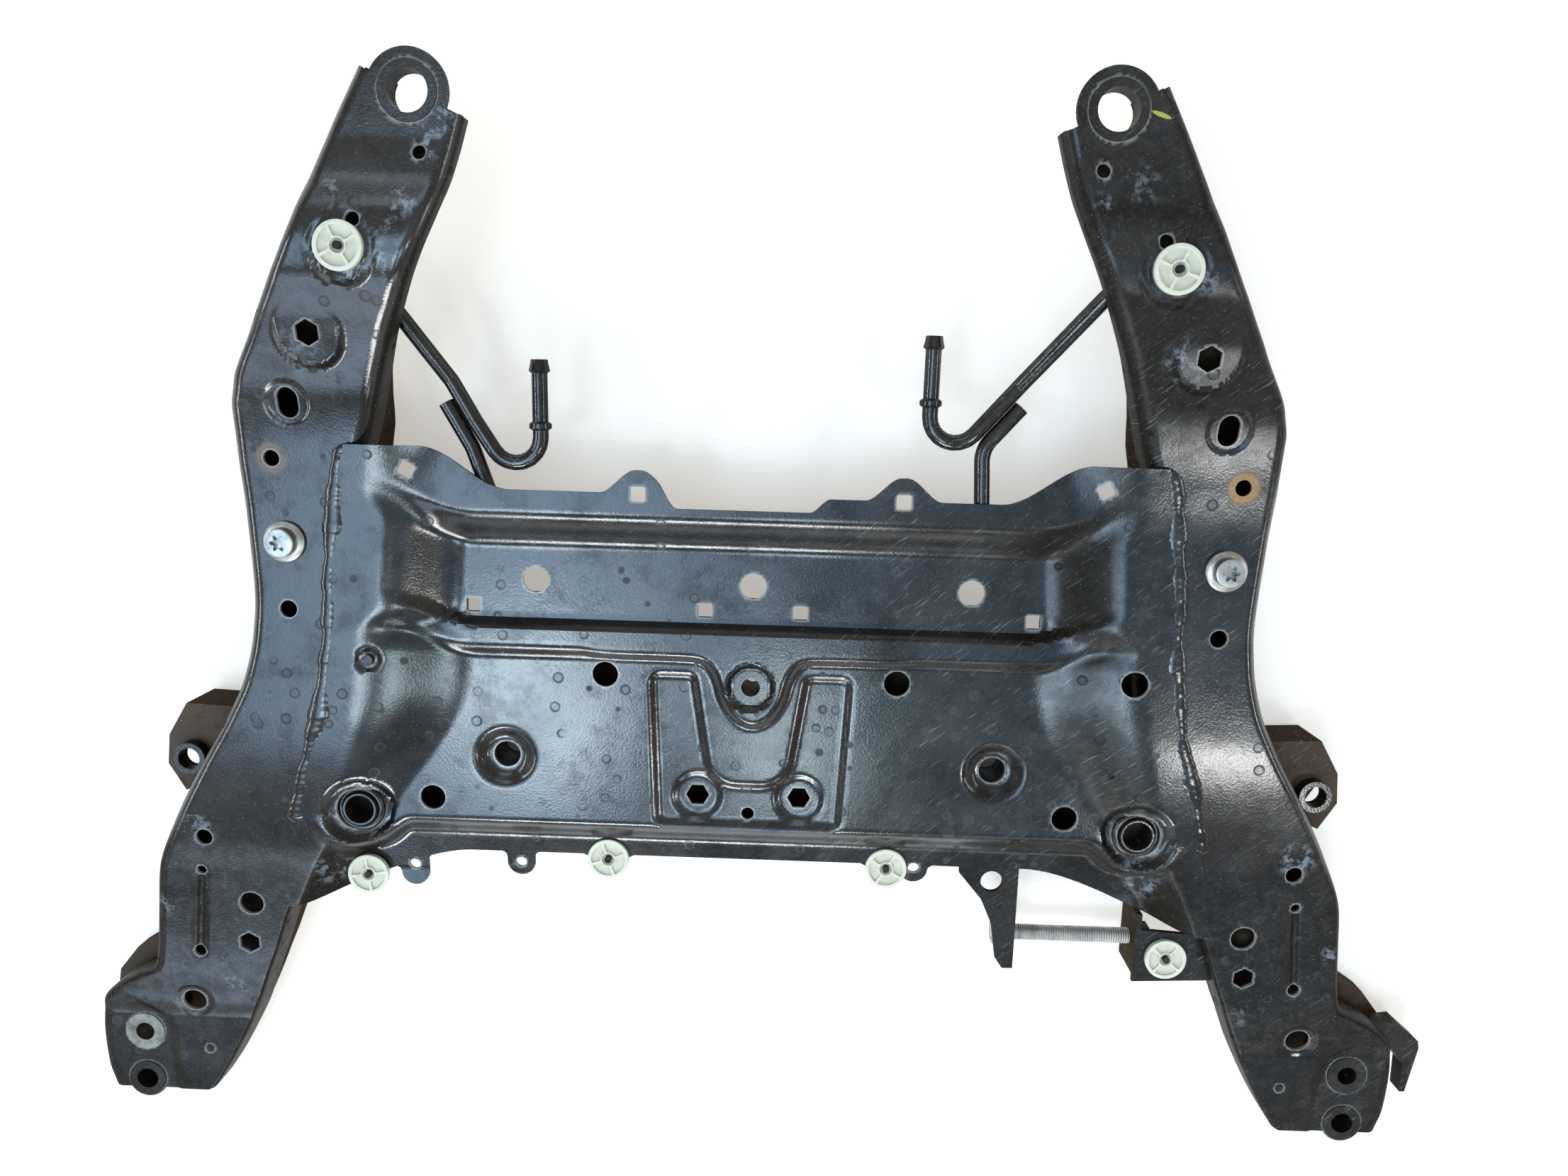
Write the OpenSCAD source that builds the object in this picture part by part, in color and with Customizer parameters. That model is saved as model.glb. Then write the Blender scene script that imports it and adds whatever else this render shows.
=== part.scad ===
// Front subframe of a small car: two pressed box rails joined by a pressed crossmember.
// It rests with its road side up. +X is the vehicle's right, +Y its rear and +Z points to the road.
// The origin lies midway between the two front body mounts, on their seat plane.

/* [Overall] */
// Width over the two pressed feet
feet_w = 981; // [950:1:1010]
// Length from the front lobes to the rear lobes
overall_l = 744; // [720:1:770]
// Height of the rail boxes beside the crossmember
rail_h = 76; // [72:1:82]
// Rise of the rear arms above the rails
arm_rise = 55; // [50:1:60]
// Height of the feet
foot_h = 44; // [40:1:48]
// Thickness of the rear arms
arm_depth = 17; // [16:0.5:19]

/* [Sheets] */
// Thickness of the rail sheets
rail_t = 2.5; // [2:0.1:3]
// Thickness of the crossmember sheets
plate_t = 2.5; // [2:0.1:3]
// Radius of the pressed edges of the rails
edge_r = 9; // [6:0.5:12]
// Depth of the rail shells' side walls
skirt = 26; // [22:1:28]
// Lap of the rail backs inside those walls
lap = 12; // [8:1:14]
// Gap between lapped sheets
sheet_gap = 0.2; // [0.1:0.05:0.4]
// Gap between the crossmember plate and the rails below its side edges
seam_gap = 0.6; // [0.5:0.1:1]

/* [Crossmember] */
// Height of the rear flange
flange_z = 75; // [73:0.5:78]
// Height of the channel floor
channel_z = 58; // [56:0.5:60]
// Height of the ledge between channel and plateau
crest_z = 66; // [64:0.5:68]
// Height of the plateau
plateau_z = 61; // [59:0.5:63]
// Height of the front flange
front_z = 45; // [42:0.5:48]
// Height of the closing plate's floor
back_z = 20; // [12:1:26]
// Width of the slope from rail to plateau
side_slope = 72; // [60:1:80]
// Width across the square locating holes
square_w = 10; // [8:0.5:12]
// Width across the flats of the hexagonal holes
hex_w = 14.5; // [13:0.5:16]
// Radius of the round plate holes
plate_hole_r = 9; // [7:0.25:10]
// Radius of the conical dimples
dimple_r = 21; // [19:0.5:23]
// Depth of the conical dimples
dimple_depth = 9; // [6:0.5:12]
// Depth of the middle panel below the plateau
panel_drop = 3.2; // [2:0.2:4]
// Outer radius of the steering sleeves in the dimples
steer_sleeve_r = 13.5; // [12.5:0.25:14.5]
// Bore radius of the steering sleeves
steer_bore_r = 9.5; // [8:0.25:10.5]
// Outer radius of the link sleeves
link_sleeve_r = 15.5; // [14:0.25:17]
// Bore radius of the link sleeves
link_bore_r = 10; // [8:0.25:11]
// Outer radius of the centre sleeve
centre_sleeve_r = 12; // [10.5:0.25:13]
// Bore radius of the centre sleeve
centre_bore_r = 6.5; // [5:0.25:8]
// Leg of the fillet welds between plate and rails
weld_leg = 6; // [4:0.5:8]

/* [Body mounts] */
// Outer radius of the rear mount sleeves
rear_sleeve_r = 18; // [17:0.25:19]
// Bore radius of the rear mount sleeves
rear_bore_r = 12.75; // [11:0.25:14]
// Radius of the rear lobes round those sleeves
rear_lobe_r = 25; // [24:0.25:27]
// Outer radius of the front mount sleeves
front_sleeve_r = 14.5; // [13.5:0.25:15.5]
// Bore radius of the front mount sleeves
front_bore_r = 7; // [6:0.25:8.5]
// Outer radius of the front locator sleeves
locator_sleeve_r = 14; // [13:0.25:15]
// Bore radius of the front locator sleeves
locator_bore_r = 8; // [7:0.25:9]
// Radius of the front lobes round the locator sleeves
front_lobe_r = 15.3; // [15.3:0.1:17]
// Height of the mount sleeves above the sheet
sleeve_stand = 1; // [0.5:0.25:2]
// Gap between a sleeve and the hole it passes
sleeve_gap = 0.15; // [0.1:0.05:0.3]

/* [Fasteners] */
// Shank radius of the rail bolts
bolt_r = 6; // [5:0.25:7]
// Radius of the rail bolts' flange
bolt_flange_r = 14; // [12.5:0.25:15]
// Height of the rail bolts' head with its flange
bolt_head_h = 11; // [9:0.5:13]
// Height of the weld nuts
nut_h = 10; // [8:0.5:12]
// Width across flats of the weld nuts
nut_w = 19; // [18:0.5:22]
// Radius of the plastic retaining washers
washer_r = 15; // [13:0.25:16]
// Height of the plastic retaining washers
washer_h = 4; // [3:0.25:5]
// Radius of the weld studs
stud_r = 2.5; // [2:0.25:3]

/* [Clevis and pockets] */
// Gap between the clevis walls
clevis_gap = 88; // [84:1:92]
// Thickness of the bracket sheets
bracket_t = 4; // [3:0.5:5]
// Height of the clevis bolt's axis
clevis_z = 27; // [25:0.5:29]
// Shank radius of the clevis bolt
clevis_bolt_r = 6; // [5:0.25:7]
// Height of the control arm pockets
pocket_h = 32; // [28:1:36]
// Bore radius of the control arm collars
collar_bore_r = 7.75; // [6:0.25:8.5]
// Outer radius of the control arm collars
collar_r = 11.5; // [10.5:0.25:12]

/* [Hangers] */
// Radius of the hanger rods
rod_r = 5.25; // [4:0.25:6]
// Radius of the hooks' bend, on the rod's axis
hook_r = 17; // [15:0.5:18]

/* [Hidden] */
$fn = 48;
sheet_black = "#23272b";
bracket_brown = "#2a2622";
inner_grey = "#3a3d40";

// Plan places grow with the width over the feet and with the overall length
kx = feet_w / 981;
ky = overall_l / 744;
function at(p) = [p[0] * kx, p[1] * ky];
function mirrored(p, side) = [side * p[0], p[1]];

// Places on the rails, right side
rear_mount = at([211.6, 665]);
front_mount = at([455, 0]);
locator = at([455.6, -39.2]);
bolt_place = at([316.1, 385]);
arm_washer = at([250.3, 573]);
arm_hex = at([281.3, 522.4]);
arm_slot = at([305.8, 478]);
slot_size = [14, 20];
leg_hex = at([365, 82.3]);
bead_ends = [at([393.9, 141]), at([402.9, 73.5])];
pocket = at([404, 221]);
// Round holes of the rails: place and radius
rail_holes = [
    [at([205.1, 630]), 4.25], [at([242.7, 589]), 4.4], [at([321.3, 441]), 5.5], [at([316.1, 338.4]), 6],
    [at([388.3, 168]), 6], [at([360, 115.3]), 8.8], [at([413.8, 29]), 8.9], [at([405.6, -11.8]), 3.5],
    [bead_ends[0], 3.5], [bead_ends[1], 4.5]
];

// Places on the crossmember
tab_places = [at([-78.2, 424]), at([99.8, 424])];
corner_square = at([232.3, 436]);
channel_holes = [at([-150.7, 361]), at([0, 361]), at([150.7, 361])];
channel_squares = [at([194.4, 342]), at([33.2, 343])];
plate_holes = [at([101.9, 296]), at([225.1, 201.4])];
dimple = at([172.9, 233.4]);
link = at([276.2, 192.3]);
plate_hex = at([36.2, 208.2]);
drain = at([0, 196]);
drain_r = 4.5;
centre = at([0, 290.2]);
bolt_boss = at([262, 305]);
plate_bolt_r = 4;
front_washer = at([101.5, 153.5]);
corner_washer = at([-278.4, 135.3]);
ear_places = [at([-245.2, 142.4]), at([-166.2, 147.2]), at([121.8, 153.7])];
ear_r = 10;
ear_hole_r = 3.9;
washer_lug_r = washer_r + 1.5;
lug_inset = 0.05;

// Lines of the crossmember's pressing, along Y
slope_top = 411 * ky;
slope_foot = 383 * ky;
crease_y = 330 * ky;
crest_y = 318 * ky;
ledge_foot = 307.5 * ky;
front_top = 187 * ky;
front_foot = 169 * ky;
rear_edge = 415 * ky;
front_edge = 156 * ky;
corner_edge = 452 * ky;

// Curves
function clip(t) = max(0, min(1, t));
function ramp(a, b, x) = let (t = clip((x - a) / (b - a))) t * t * (3 - 2 * t);
function mix(a, b, t) = a + (b - a) * t;
function unit(v) = v / norm(v);

// Smooth curve through a table of [key, value] rows, without overshoot
function slope(tab, i) = (tab[i + 1][1] - tab[i][1]) / (tab[i + 1][0] - tab[i][0]);
function tangent(tab, i) =
    i == 0 ? slope(tab, 0)
    : i == len(tab) - 1 ? slope(tab, i - 1)
    : let (a = slope(tab, i - 1), b = slope(tab, i)) a * b <= 0 ? 0 : 2 * a * b / (a + b);
function span(tab, x, i = 0) = i >= len(tab) - 2 || x <= tab[i + 1][0] ? i : span(tab, x, i + 1);
function curve(tab, x) =
    let (
        i = span(tab, x), w = tab[i + 1][0] - tab[i][0], t = clip((x - tab[i][0]) / w),
        a = tab[i][1], b = tab[i + 1][1], ta = tangent(tab, i) * w, tb = tangent(tab, i + 1) * w
    )
    a * (1 + 2 * t) * (1 - t) * (1 - t) + ta * t * (1 - t) * (1 - t)
    + b * t * t * (3 - 2 * t) + tb * t * t * (t - 1);

// Plan of a rail at its stations, from the foot to the arm's tip: outer edge, inner edge
rail_plan = [
    [484, -47, 405, -47], [489, -28, 393, -28], [490.5, -2, 379, -2], [488, 22, 367.5, 22],
    [476, 37, 361, 37], [458, 48, 356.5, 48], [443, 56, 353.5, 56], [437.5, 74, 346, 74],
    [432.5, 109, 333, 109], [428, 139, 321, 135], [411, 179, 303, 172], [388, 221, 290, 218],
    [366, 258, 282, 258], [352, 288, 277, 288], [344.5, 319, 274, 319], [342, 348, 272, 348],
    [344.5, 398, 268, 398], [345.8, 420, 265.3, 419], [346.5, 442, 262, 440], [346, 471, 254, 464],
    [341, 491, 247.5, 484], [318, 528, 234, 517], [290, 573, 214, 556], [265, 635, 194, 601],
    [242, 681, 179, 652.5]
];
stations = len(rail_plan);
plan_curves = [for (c = [0:3]) [for (i = [0:stations - 1]) [i, rail_plan[i][c] * (c % 2 == 0 ? kx : ky)]]];
function outer_edge(u) = [curve(plan_curves[0], u), curve(plan_curves[1], u)];
function inner_edge(u) = [curve(plan_curves[2], u), curve(plan_curves[3], u)];

// Heights along the rails: the road side and the closed side
arm_top = rail_h + arm_rise;
tip_top = rail_h + 0.765 * arm_rise;
rail_heights = [for (r = [
    [-60, foot_h], [13, foot_h], [29, foot_h + 4], [56, foot_h + 9.5], [74, foot_h + 12],
    [141, foot_h + 20], [169, foot_h + 24], [269, rail_h], [403, rail_h], [441, rail_h + 4],
    [479, rail_h + 0.2 * arm_rise], [502, rail_h + 0.38 * arm_rise], [516, rail_h + 0.53 * arm_rise],
    [538, rail_h + 0.65 * arm_rise], [557, rail_h + 0.94 * arm_rise], [574, arm_top],
    [594, rail_h + 0.96 * arm_rise], [618, rail_h + 0.82 * arm_rise], [640, tip_top], [690, tip_top]
]) [r[0] * ky, r[1]]];
rail_floors = [for (r = [
    [-60, 0], [428, 0], [460, 0.18 * rail_h], [490, 0.58 * rail_h], [516, 0.97 * rail_h],
    [545, rail_h + 0.36 * arm_rise], [576, arm_top - arm_depth - 2], [604, tip_top - arm_depth + 4],
    [624, tip_top - arm_depth], [690, tip_top - arm_depth]
]) [r[0] * ky, r[1]]];
function rail_z(y) = curve(rail_heights, y);
function floor_z(y) = curve(rail_floors, y);

// Along the arms the walls, their lap and the edges of the backs grow smaller
function arm_share(y) = ramp(480 * ky, 560 * ky, y);
function skirt_at(y) = mix(skirt, arm_depth - 2, arm_share(y));
function lap_at(y) = mix(lap, 5, arm_share(y));
function back_r(y) = mix(edge_r, 4, arm_share(y));

// Side edge of the crossmember plate, on the rail, and the rail's inner edge below it
seam_plan = [for (r = [
    [115, 336], [123, 333], [158, 326], [217, 310.5], [243, 303], [270, 295], [290, 291.5],
    [318, 288], [378, 283.6], [406, 280.5], [430, 277], [454, 270.5]
]) [r[0] * ky, r[1] * kx]];
function seam_x(y) = curve(seam_plan, y);
inner_plan = [for (i = [8:19]) [rail_plan[i][3] * ky, rail_plan[i][2] * kx]];
function inner_x(y) = curve(inner_plan, y);

// Road side of the crossmember plate
function pressed_z(y) =
    flange_z
    - (flange_z - channel_z) * (1 - ramp(slope_foot, slope_top, y))
    + (crest_z - channel_z) * (1 - ramp(crest_y, crease_y, y))
    - (crest_z - plateau_z) * (1 - ramp(ledge_foot, crest_y - 1, y))
    - (plateau_z - front_z) * (1 - ramp(front_foot, front_top, y));
function lapped_z(y) = rail_z(y) + seam_gap + plate_t;
// Slope from rail to plateau, steep at the ends of the channel
function slope_w(y) =
    mix(side_slope * 0.28, side_slope, ramp(160 * ky, 260 * ky, y))
    * mix(1, 0.55, ramp(310 * ky, 335 * ky, y));
rim_in = 2;
channel_in = 14 * kx;
function slope_rim(y) =
    inner_x(y) - rim_in - channel_in * ramp(322 * ky, 345 * ky, y) * (1 - ramp(398 * ky, 425 * ky, y));
// The pressed lines bow to the rear towards the rails
bow_depth = 22 * ky;
function bow(x, y) = bow_depth * ramp(190 * kx, 262 * kx, abs(x)) * ramp(255 * ky, 300 * ky, y);
function plate_z(x, y) =
    let (rim = slope_rim(y))
    mix(pressed_z(y - bow(x, y)), lapped_z(y), ramp(rim - slope_w(y), rim, abs(x)));

// Rear and front edges of the crossmember plate
rear_step = 9.5 * ky;
function rear_y(x) =
    rear_edge + rear_step * (x < 0 ? ramp(52 * kx, 66 * kx, -x) : ramp(37 * kx, 51 * kx, x))
    + (corner_edge - rear_edge - rear_step) * ramp(165 * kx, 225 * kx, abs(x));
function front_y(x) = front_edge - 41 * ky * ramp(200 * kx, 338 * kx, abs(x));

// Turns in the plane, and corners rounded to a radius
function turned(v, a) = [v[0] * cos(a) - v[1] * sin(a), v[0] * sin(a) + v[1] * cos(a)];
function turn_angle(a, b, c) = let (p = b - a, q = c - b) atan2(p[0] * q[1] - p[1] * q[0], p * q);
// Each row is a point of the arc at corner b and the direction there
function corner_arc(a, b, c, r, steps) =
    let (
        d = unit(b - a), angle = turn_angle(a, b, c), start = b - d * r * tan(abs(angle) / 2),
        middle = start + turned(d, 90) * r * sign(angle)
    )
    [for (k = [0:steps]) let (t = angle * k / steps) [middle + turned(start - middle, t), turned(d, t)]];
// Loops run clockwise, one row a corner: its place and radius
loop_steps = 4;
function round_loop(loop) =
    let (m = len(loop))
    [for (i = [0:m - 1]) each [for (q = corner_arc(
        loop[(i + m - 1) % m][0], loop[i][0], loop[(i + 1) % m][0], loop[i][1], loop_steps)) q[0]]];
function grown(loop, w) =
    let (m = len(loop))
    [for (i = [0:m - 1]) let (
        p = loop[i][0], a = turned(unit(p - loop[(i + m - 1) % m][0]), 90),
        b = turned(unit(loop[(i + 1) % m][0] - p), 90)
    ) [p + (a + b) * w / (1 + a * b), loop[i][1]]];

// Closed solid from rows of points, one closed loop a row. The first half of a loop is one face of
// the sheet and the second half is the other face backwards, so the ends close as a strip.
module loft(rows) {
    n = len(rows);
    m = len(rows[0]);
    half = m / 2;
    last = (n - 1) * m;
    faces = concat(
        [for (j = [0:half - 2]) each [[m - 1 - j, j + 1, j], [m - 1 - j, m - 2 - j, j + 1]]],
        [for (j = [0:half - 2]) each [
            [last + j, last + j + 1, last + m - 1 - j], [last + j + 1, last + m - 2 - j, last + m - 1 - j]
        ]],
        [for (i = [0:n - 2], j = [0:m - 1]) let (a = i * m + j, b = i * m + (j + 1) % m)
            each [[a, b, a + m], [b, b + m, a + m]]]
    );
    polyhedron([for (r = rows) each r], faces);
}

module both_sides(side) {
    if (side < 0) mirror([1, 0, 0]) children();
    else children();
}

// Length of a cut that goes right through the part
cut_l = 400;

module drill(p, r) {
    translate([p[0], p[1], 0]) cylinder(r = r, h = cut_l, center = true);
}

module square_hole(p, turn = 0) {
    translate([p[0], p[1], 0]) rotate(turn) cube([square_w, square_w, cut_l], center = true);
}

module hex_hole(p, turn = 0) {
    translate([p[0], p[1], 0]) rotate(turn) cylinder(d = hex_w / cos(30), h = cut_l, center = true, $fn = 6);
}

module slot_hole(p, size) {
    ends = (size[1] - size[0]) / 2;
    for (s = [-1, 1]) drill(p + [0, s * ends], size[0] / 2);
    translate([p[0], p[1], 0]) cube([size[0], 2 * ends, cut_l], center = true);
}

// Flat round lug, a hair inside the faces of the sheet that it grows from
module lug(p, z, r, t) {
    translate([p[0], p[1], z - t + lug_inset]) cylinder(r = r, h = t - 2 * lug_inset);
}

module tube(p, z0, z1, r, bore) {
    translate([p[0], p[1], z0]) difference() {
        cylinder(r = r, h = z1 - z0);
        translate([0, 0, -1]) cylinder(r = bore, h = z1 - z0 + 2);
    }
}

// Road side shell of a rail: a channel with rounded edges, open towards the body
station_steps = 2;
rail_u = [for (i = [0:(stations - 1) * station_steps]) i / station_steps];
arc_steps = 2;
function arc_points(cw, ch, r, a0, a1) =
    [for (k = [0:arc_steps]) let (a = mix(a0, a1, k / arc_steps)) [cw + r * cos(a), ch + r * sin(a)]];
// Section of a shell: its width and the depths of its outer and inner walls
function shell_section(w, outer, inner) =
    let (r = edge_r, t = rail_t)
    concat(
        [[0, -outer]], arc_points(r, -r, r, 180, 90), [[w * 0.35, 0], [w * 0.65, 0]],
        arc_points(w - r, -r, r, 90, 0), [[w, -inner], [w - t, -inner]],
        arc_points(w - r, -r, r - t, 0, 90), [[w * 0.65, -t], [w * 0.35, -t]],
        arc_points(r, -r, r - t, 90, 180), [[t, -outer]]
    );
function shell_row(u) =
    let (o = outer_edge(u), i = inner_edge(u), d = unit(i - o))
    [for (q = shell_section(norm(i - o), skirt_at(o[1]), skirt_at(i[1]))) let (p = o + d * q[0])
        [p[0], p[1], rail_z(p[1]) + q[1]]];

// Groove between the two small holes of a leg, and flat rings pressed round two holes
bead_w = 5.5;
press_depth = 1;
// Height of the pressing tool above its face
press_h = 10;
bead_steps = 4;
slot_ring_r = 14.3;
leg_ring_r = 13;
function bead_row(t) =
    let (p = mix(bead_ends[0], bead_ends[1], t), z = rail_z(p[1]) - press_depth, w = bead_w / 2)
    [[p[0] - w, p[1], z], [p[0] - w, p[1], z + press_h], [p[0] + w, p[1], z + press_h], [p[0] + w, p[1], z]];

module pressed_ring(p, r) {
    lean = atan((rail_z(p[1] + r) - rail_z(p[1] - r)) / (2 * r));
    translate([p[0], p[1], rail_z(p[1]) - press_depth]) rotate([lean, 0, 0]) cylinder(r = r, h = press_h);
}

module rail_shell(side) {
    tip_z = rail_z(rear_mount[1]);
    both_sides(side) difference() {
        union() {
            loft([for (u = rail_u) shell_row(u)]);
            lug(rear_mount, tip_z, rear_lobe_r, rail_t);
            lug(locator, foot_h, front_lobe_r, rail_t);
            lug(arm_washer, rail_z(arm_washer[1]), washer_lug_r, rail_t);
        }
        drill(rear_mount, rear_sleeve_r + sleeve_gap);
        drill(front_mount, front_sleeve_r + sleeve_gap);
        drill(locator, locator_sleeve_r + sleeve_gap);
        drill(bolt_place, bolt_r + sleeve_gap);
        drill(arm_washer, stud_r + sleeve_gap);
        hex_hole(arm_hex, 30);
        hex_hole(leg_hex, 30);
        slot_hole(arm_slot, slot_size);
        for (h = rail_holes) drill(h[0], h[1]);
        pressed_ring(arm_slot, slot_ring_r);
        pressed_ring(rail_holes[6][0], leg_ring_r);
        loft([for (k = [0:bead_steps]) bead_row(k / bead_steps)]);
    }
}

// The rails' backs lie inside the shells, where the pockets and gussets meet them
wall_in = rail_t + sheet_gap;
function wall_point(u) = let (o = outer_edge(u), i = inner_edge(u)) o + unit(i - o) * wall_in;

// Shell that closes a rail from the body side, lapped inside the road side shell.
// Each section point is [place across, height above the floor, lies on the wall's top edge].
function back_section(w, r) =
    let (t = rail_t, g = wall_in)
    concat(
        [[w - g, 0, true]],
        [for (q = arc_points(w - g - r, r, r, 360, 270)) [q[0], q[1], false]],
        [for (q = arc_points(g + r, r, r, 270, 180)) [q[0], q[1], false]],
        [[g, 0, true], [g + t, 0, true]],
        [for (q = arc_points(g + r, r, r - t, 180, 270)) [q[0], q[1], false]],
        [for (q = arc_points(w - g - r, r, r - t, 270, 360)) [q[0], q[1], false]],
        [[w - g - t, 0, true]]
    );
function wall_top(y) = rail_z(y) - skirt_at(y) + lap_at(y);
function back_row(u) =
    let (o = outer_edge(u), i = inner_edge(u), d = unit(i - o))
    [for (q = back_section(norm(i - o), back_r((o[1] + i[1]) / 2))) let (p = o + d * q[0])
        [p[0], p[1], q[2] ? wall_top(p[1]) : floor_z(p[1]) + q[1]]];

module rail_back(side) {
    both_sides(side) difference() {
        loft([for (u = rail_u) back_row(u)]);
        drill(rear_mount, rear_bore_r);
        drill(front_mount, front_bore_r);
        drill(locator, locator_bore_r);
    }
}

// Crossmember plate: a pressed sheet on a grid, with lugs, dimples and pierced holes
grid_u = [for (k = [-20:20]) let (s = k / 20) s * (1.3 - 0.3 * abs(s))];
grid_y = [
    front_foot, mix(front_foot, front_top, 0.35), mix(front_foot, front_top, 0.7), front_top,
    230 * ky, 250 * ky, 268 * ky, 280 * ky, ledge_foot, mix(ledge_foot, crest_y, 0.5), crest_y,
    mix(crest_y, crease_y, 0.5), crease_y, 355 * ky, slope_foot,
    mix(slope_foot, slope_top, 0.35), mix(slope_foot, slope_top, 0.65), slope_top
];
rows_y = len(grid_y) + 4;
function grid_x(u, y) = u * seam_x(y);
function bowed_y(u, y) = y + bow(grid_x(u, y), y);
// Row r of the grid at the line u, from the front edge to the rear edge
function grid_row_y(u, r) =
    let (front = front_y(u * seam_x(front_edge)), rear = rear_y(u * seam_x(corner_edge)))
    r == 0 ? front
    : r == 1 ? mix(front, grid_y[0], 0.5)
    : r < len(grid_y) + 2 ? bowed_y(u, grid_y[r - 2])
    : r == rows_y - 2 ? mix(bowed_y(u, slope_top), rear, 0.5)
    : rear;
function grid_point(u, r, below) =
    let (y = grid_row_y(u, r), x = grid_x(u, y))
    [x, y, plate_z(x, y) - (below ? plate_t : 0)];
function plate_row(u) = concat(
    [for (r = [0:rows_y - 1]) grid_point(u, r, false)],
    [for (r = [rows_y - 1:-1:0]) grid_point(u, r, true)]
);

// Round dish pressed into the flat sheet at height z: rim, wall and floor round a bore
dish_rim = 2;
module dish(p, z, top_r, floor_r, bore_r, depth) {
    rim = top_r + dish_rim;
    translate([p[0], p[1], z]) rotate_extrude() polygon([
        [rim, 0], [top_r, 0], [floor_r, -depth], [bore_r, -depth], [bore_r, -depth - plate_t],
        [floor_r + 1, -depth - plate_t], [top_r + 1, -plate_t], [rim, -plate_t]
    ]);
}

// Sheet pressed to another height inside a loop, with the wall that joins it to the plate
panel_wall = 2.5;
module pressed_panel(loop, from_z, to_z) {
    low = min(from_z, to_z) - plate_t + lug_inset;
    high = max(from_z, to_z) - lug_inset;
    translate([0, 0, to_z - plate_t]) linear_extrude(plate_t) polygon(round_loop(loop));
    translate([0, 0, low]) linear_extrude(high - low) difference() {
        polygon(round_loop(grown(loop, panel_wall / 2)));
        polygon(round_loop(grown(loop, -panel_wall / 2)));
    }
}

module loop_cut(loop) {
    linear_extrude(cut_l, center = true) polygon(round_loop(loop));
}

// Lowered panel round the middle, and the tongue of the ledge round the centre sleeve
panel_z = plateau_z - panel_drop;
panel_loop = [
    [at([-69.5, 297]), 6], [at([-40, 297]), 5], [at([-27, 217]), 22], [at([27, 217]), 22],
    [at([39, 297]), 5], [at([69.5, 297]), 6], [at([64.4, 188]), 5], [at([-64.4, 188]), 5]
];
tongue_loop = [
    [[-33 * kx, crest_y - 1.3], 0.5], [[33 * kx, crest_y - 1.3], 0.5], [at([25, 300]), 10],
    [at([22, 262]), 19], [at([-20, 262]), 19], [at([-22, 300]), 10]
];
hex_dish_r = 16;
hex_floor_r = 11.5;
hex_dish_depth = 2.6;
centre_dish_r = 17;
centre_floor_r = 14;

// Bell-shaped tab on the rear edge
tab_h = 15.5;
tab_half = 26 * kx;
tab_root = 408 * ky;
tab_steps = 8;
function tab_y(x, place) = rear_y(x) + tab_h * (1 - ramp(2 * kx, tab_half, abs(x - place[0])));
module tab(place) {
    translate([0, 0, flange_z - plate_t + lug_inset]) linear_extrude(plate_t - 2 * lug_inset) polygon(concat(
        [[place[0] + tab_half, tab_root], [place[0] - tab_half, tab_root]],
        [for (k = [-tab_steps:tab_steps]) let (x = place[0] + tab_half * k / tab_steps) [x, tab_y(x, place)]]
    ));
}

module crossmember_plate() {
    color("#23272b") difference() {
        union() {
            difference() {
                union() {
                    difference() {
                        loft([for (u = grid_u) plate_row(u)]);
                        loop_cut(panel_loop);
                        loop_cut(tongue_loop);
                    }
                    pressed_panel(panel_loop, plateau_z, panel_z);
                    pressed_panel(tongue_loop, plateau_z, crest_z);
                }
                for (s = [-1, 1]) {
                    drill(mirrored(dimple, s), dimple_r + dish_rim);
                    drill(mirrored(plate_hex, s), hex_dish_r + dish_rim);
                }
                drill(centre, centre_dish_r + dish_rim);
            }
            for (s = [-1, 1]) {
                dish(mirrored(dimple, s), plateau_z, dimple_r, steer_sleeve_r, steer_bore_r, dimple_depth);
                dish(mirrored(plate_hex, s), panel_z, hex_dish_r, hex_floor_r, hex_w / 3, hex_dish_depth);
            }
            dish(centre, crest_z, centre_dish_r, centre_floor_r, centre_sleeve_r + sleeve_gap,
                crest_z - plateau_z);
            for (p = tab_places) tab(p);
            for (p = ear_places) lug(p, front_z, ear_r, plate_t);
            for (s = [-1, 1]) lug(mirrored(front_washer, s), front_z, washer_lug_r, plate_t);
            lug(corner_washer, front_z, washer_lug_r, plate_t);
        }
        for (p = tab_places) square_hole(p);
        for (s = [-1, 1]) {
            square_hole(mirrored(corner_square, s), 30 * s);
            for (p = channel_squares) square_hole(mirrored(p, s));
            for (p = plate_holes) drill(mirrored(p, s), plate_hole_r);
            drill(mirrored(link, s), link_sleeve_r + sleeve_gap);
            hex_hole(mirrored(plate_hex, s));
            drill(mirrored(front_washer, s), stud_r + sleeve_gap);
        }
        drill(corner_washer, stud_r + sleeve_gap);
        for (p = channel_holes) drill(p, plate_hole_r);
        for (p = ear_places) drill(p, ear_hole_r);
        drill(drain, drain_r);
        drill(centre, centre_sleeve_r + sleeve_gap);
        drill(mirrored(bolt_boss, -1), plate_bolt_r + sleeve_gap);
        drill(bolt_boss, plate_hole_r);
    }
}

// Hat section behind the crossmember, between the rails
back_top = back_z + plate_t;
back_rear_z = channel_z - plate_t;
back_front_z = front_z - plate_t;
back_lines = [front_edge + 4, 168 * ky, 175 * ky, 318 * ky, 332 * ky, 352 * ky];
function hat_profile() =
    let (f = back_front_z, r = back_rear_z, t = plate_t, y = back_lines)
    [
        [y[0], f], [y[1], f], [y[2], back_top], [y[3], back_top], [y[4], r], [y[5], r],
        [y[5], r - t], [y[4] + t / 2, r - t], [y[3] + t / 2, back_z], [y[2] - t / 2, back_z],
        [y[1] - t / 2, f - t], [y[0], f - t]
    ];
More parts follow.
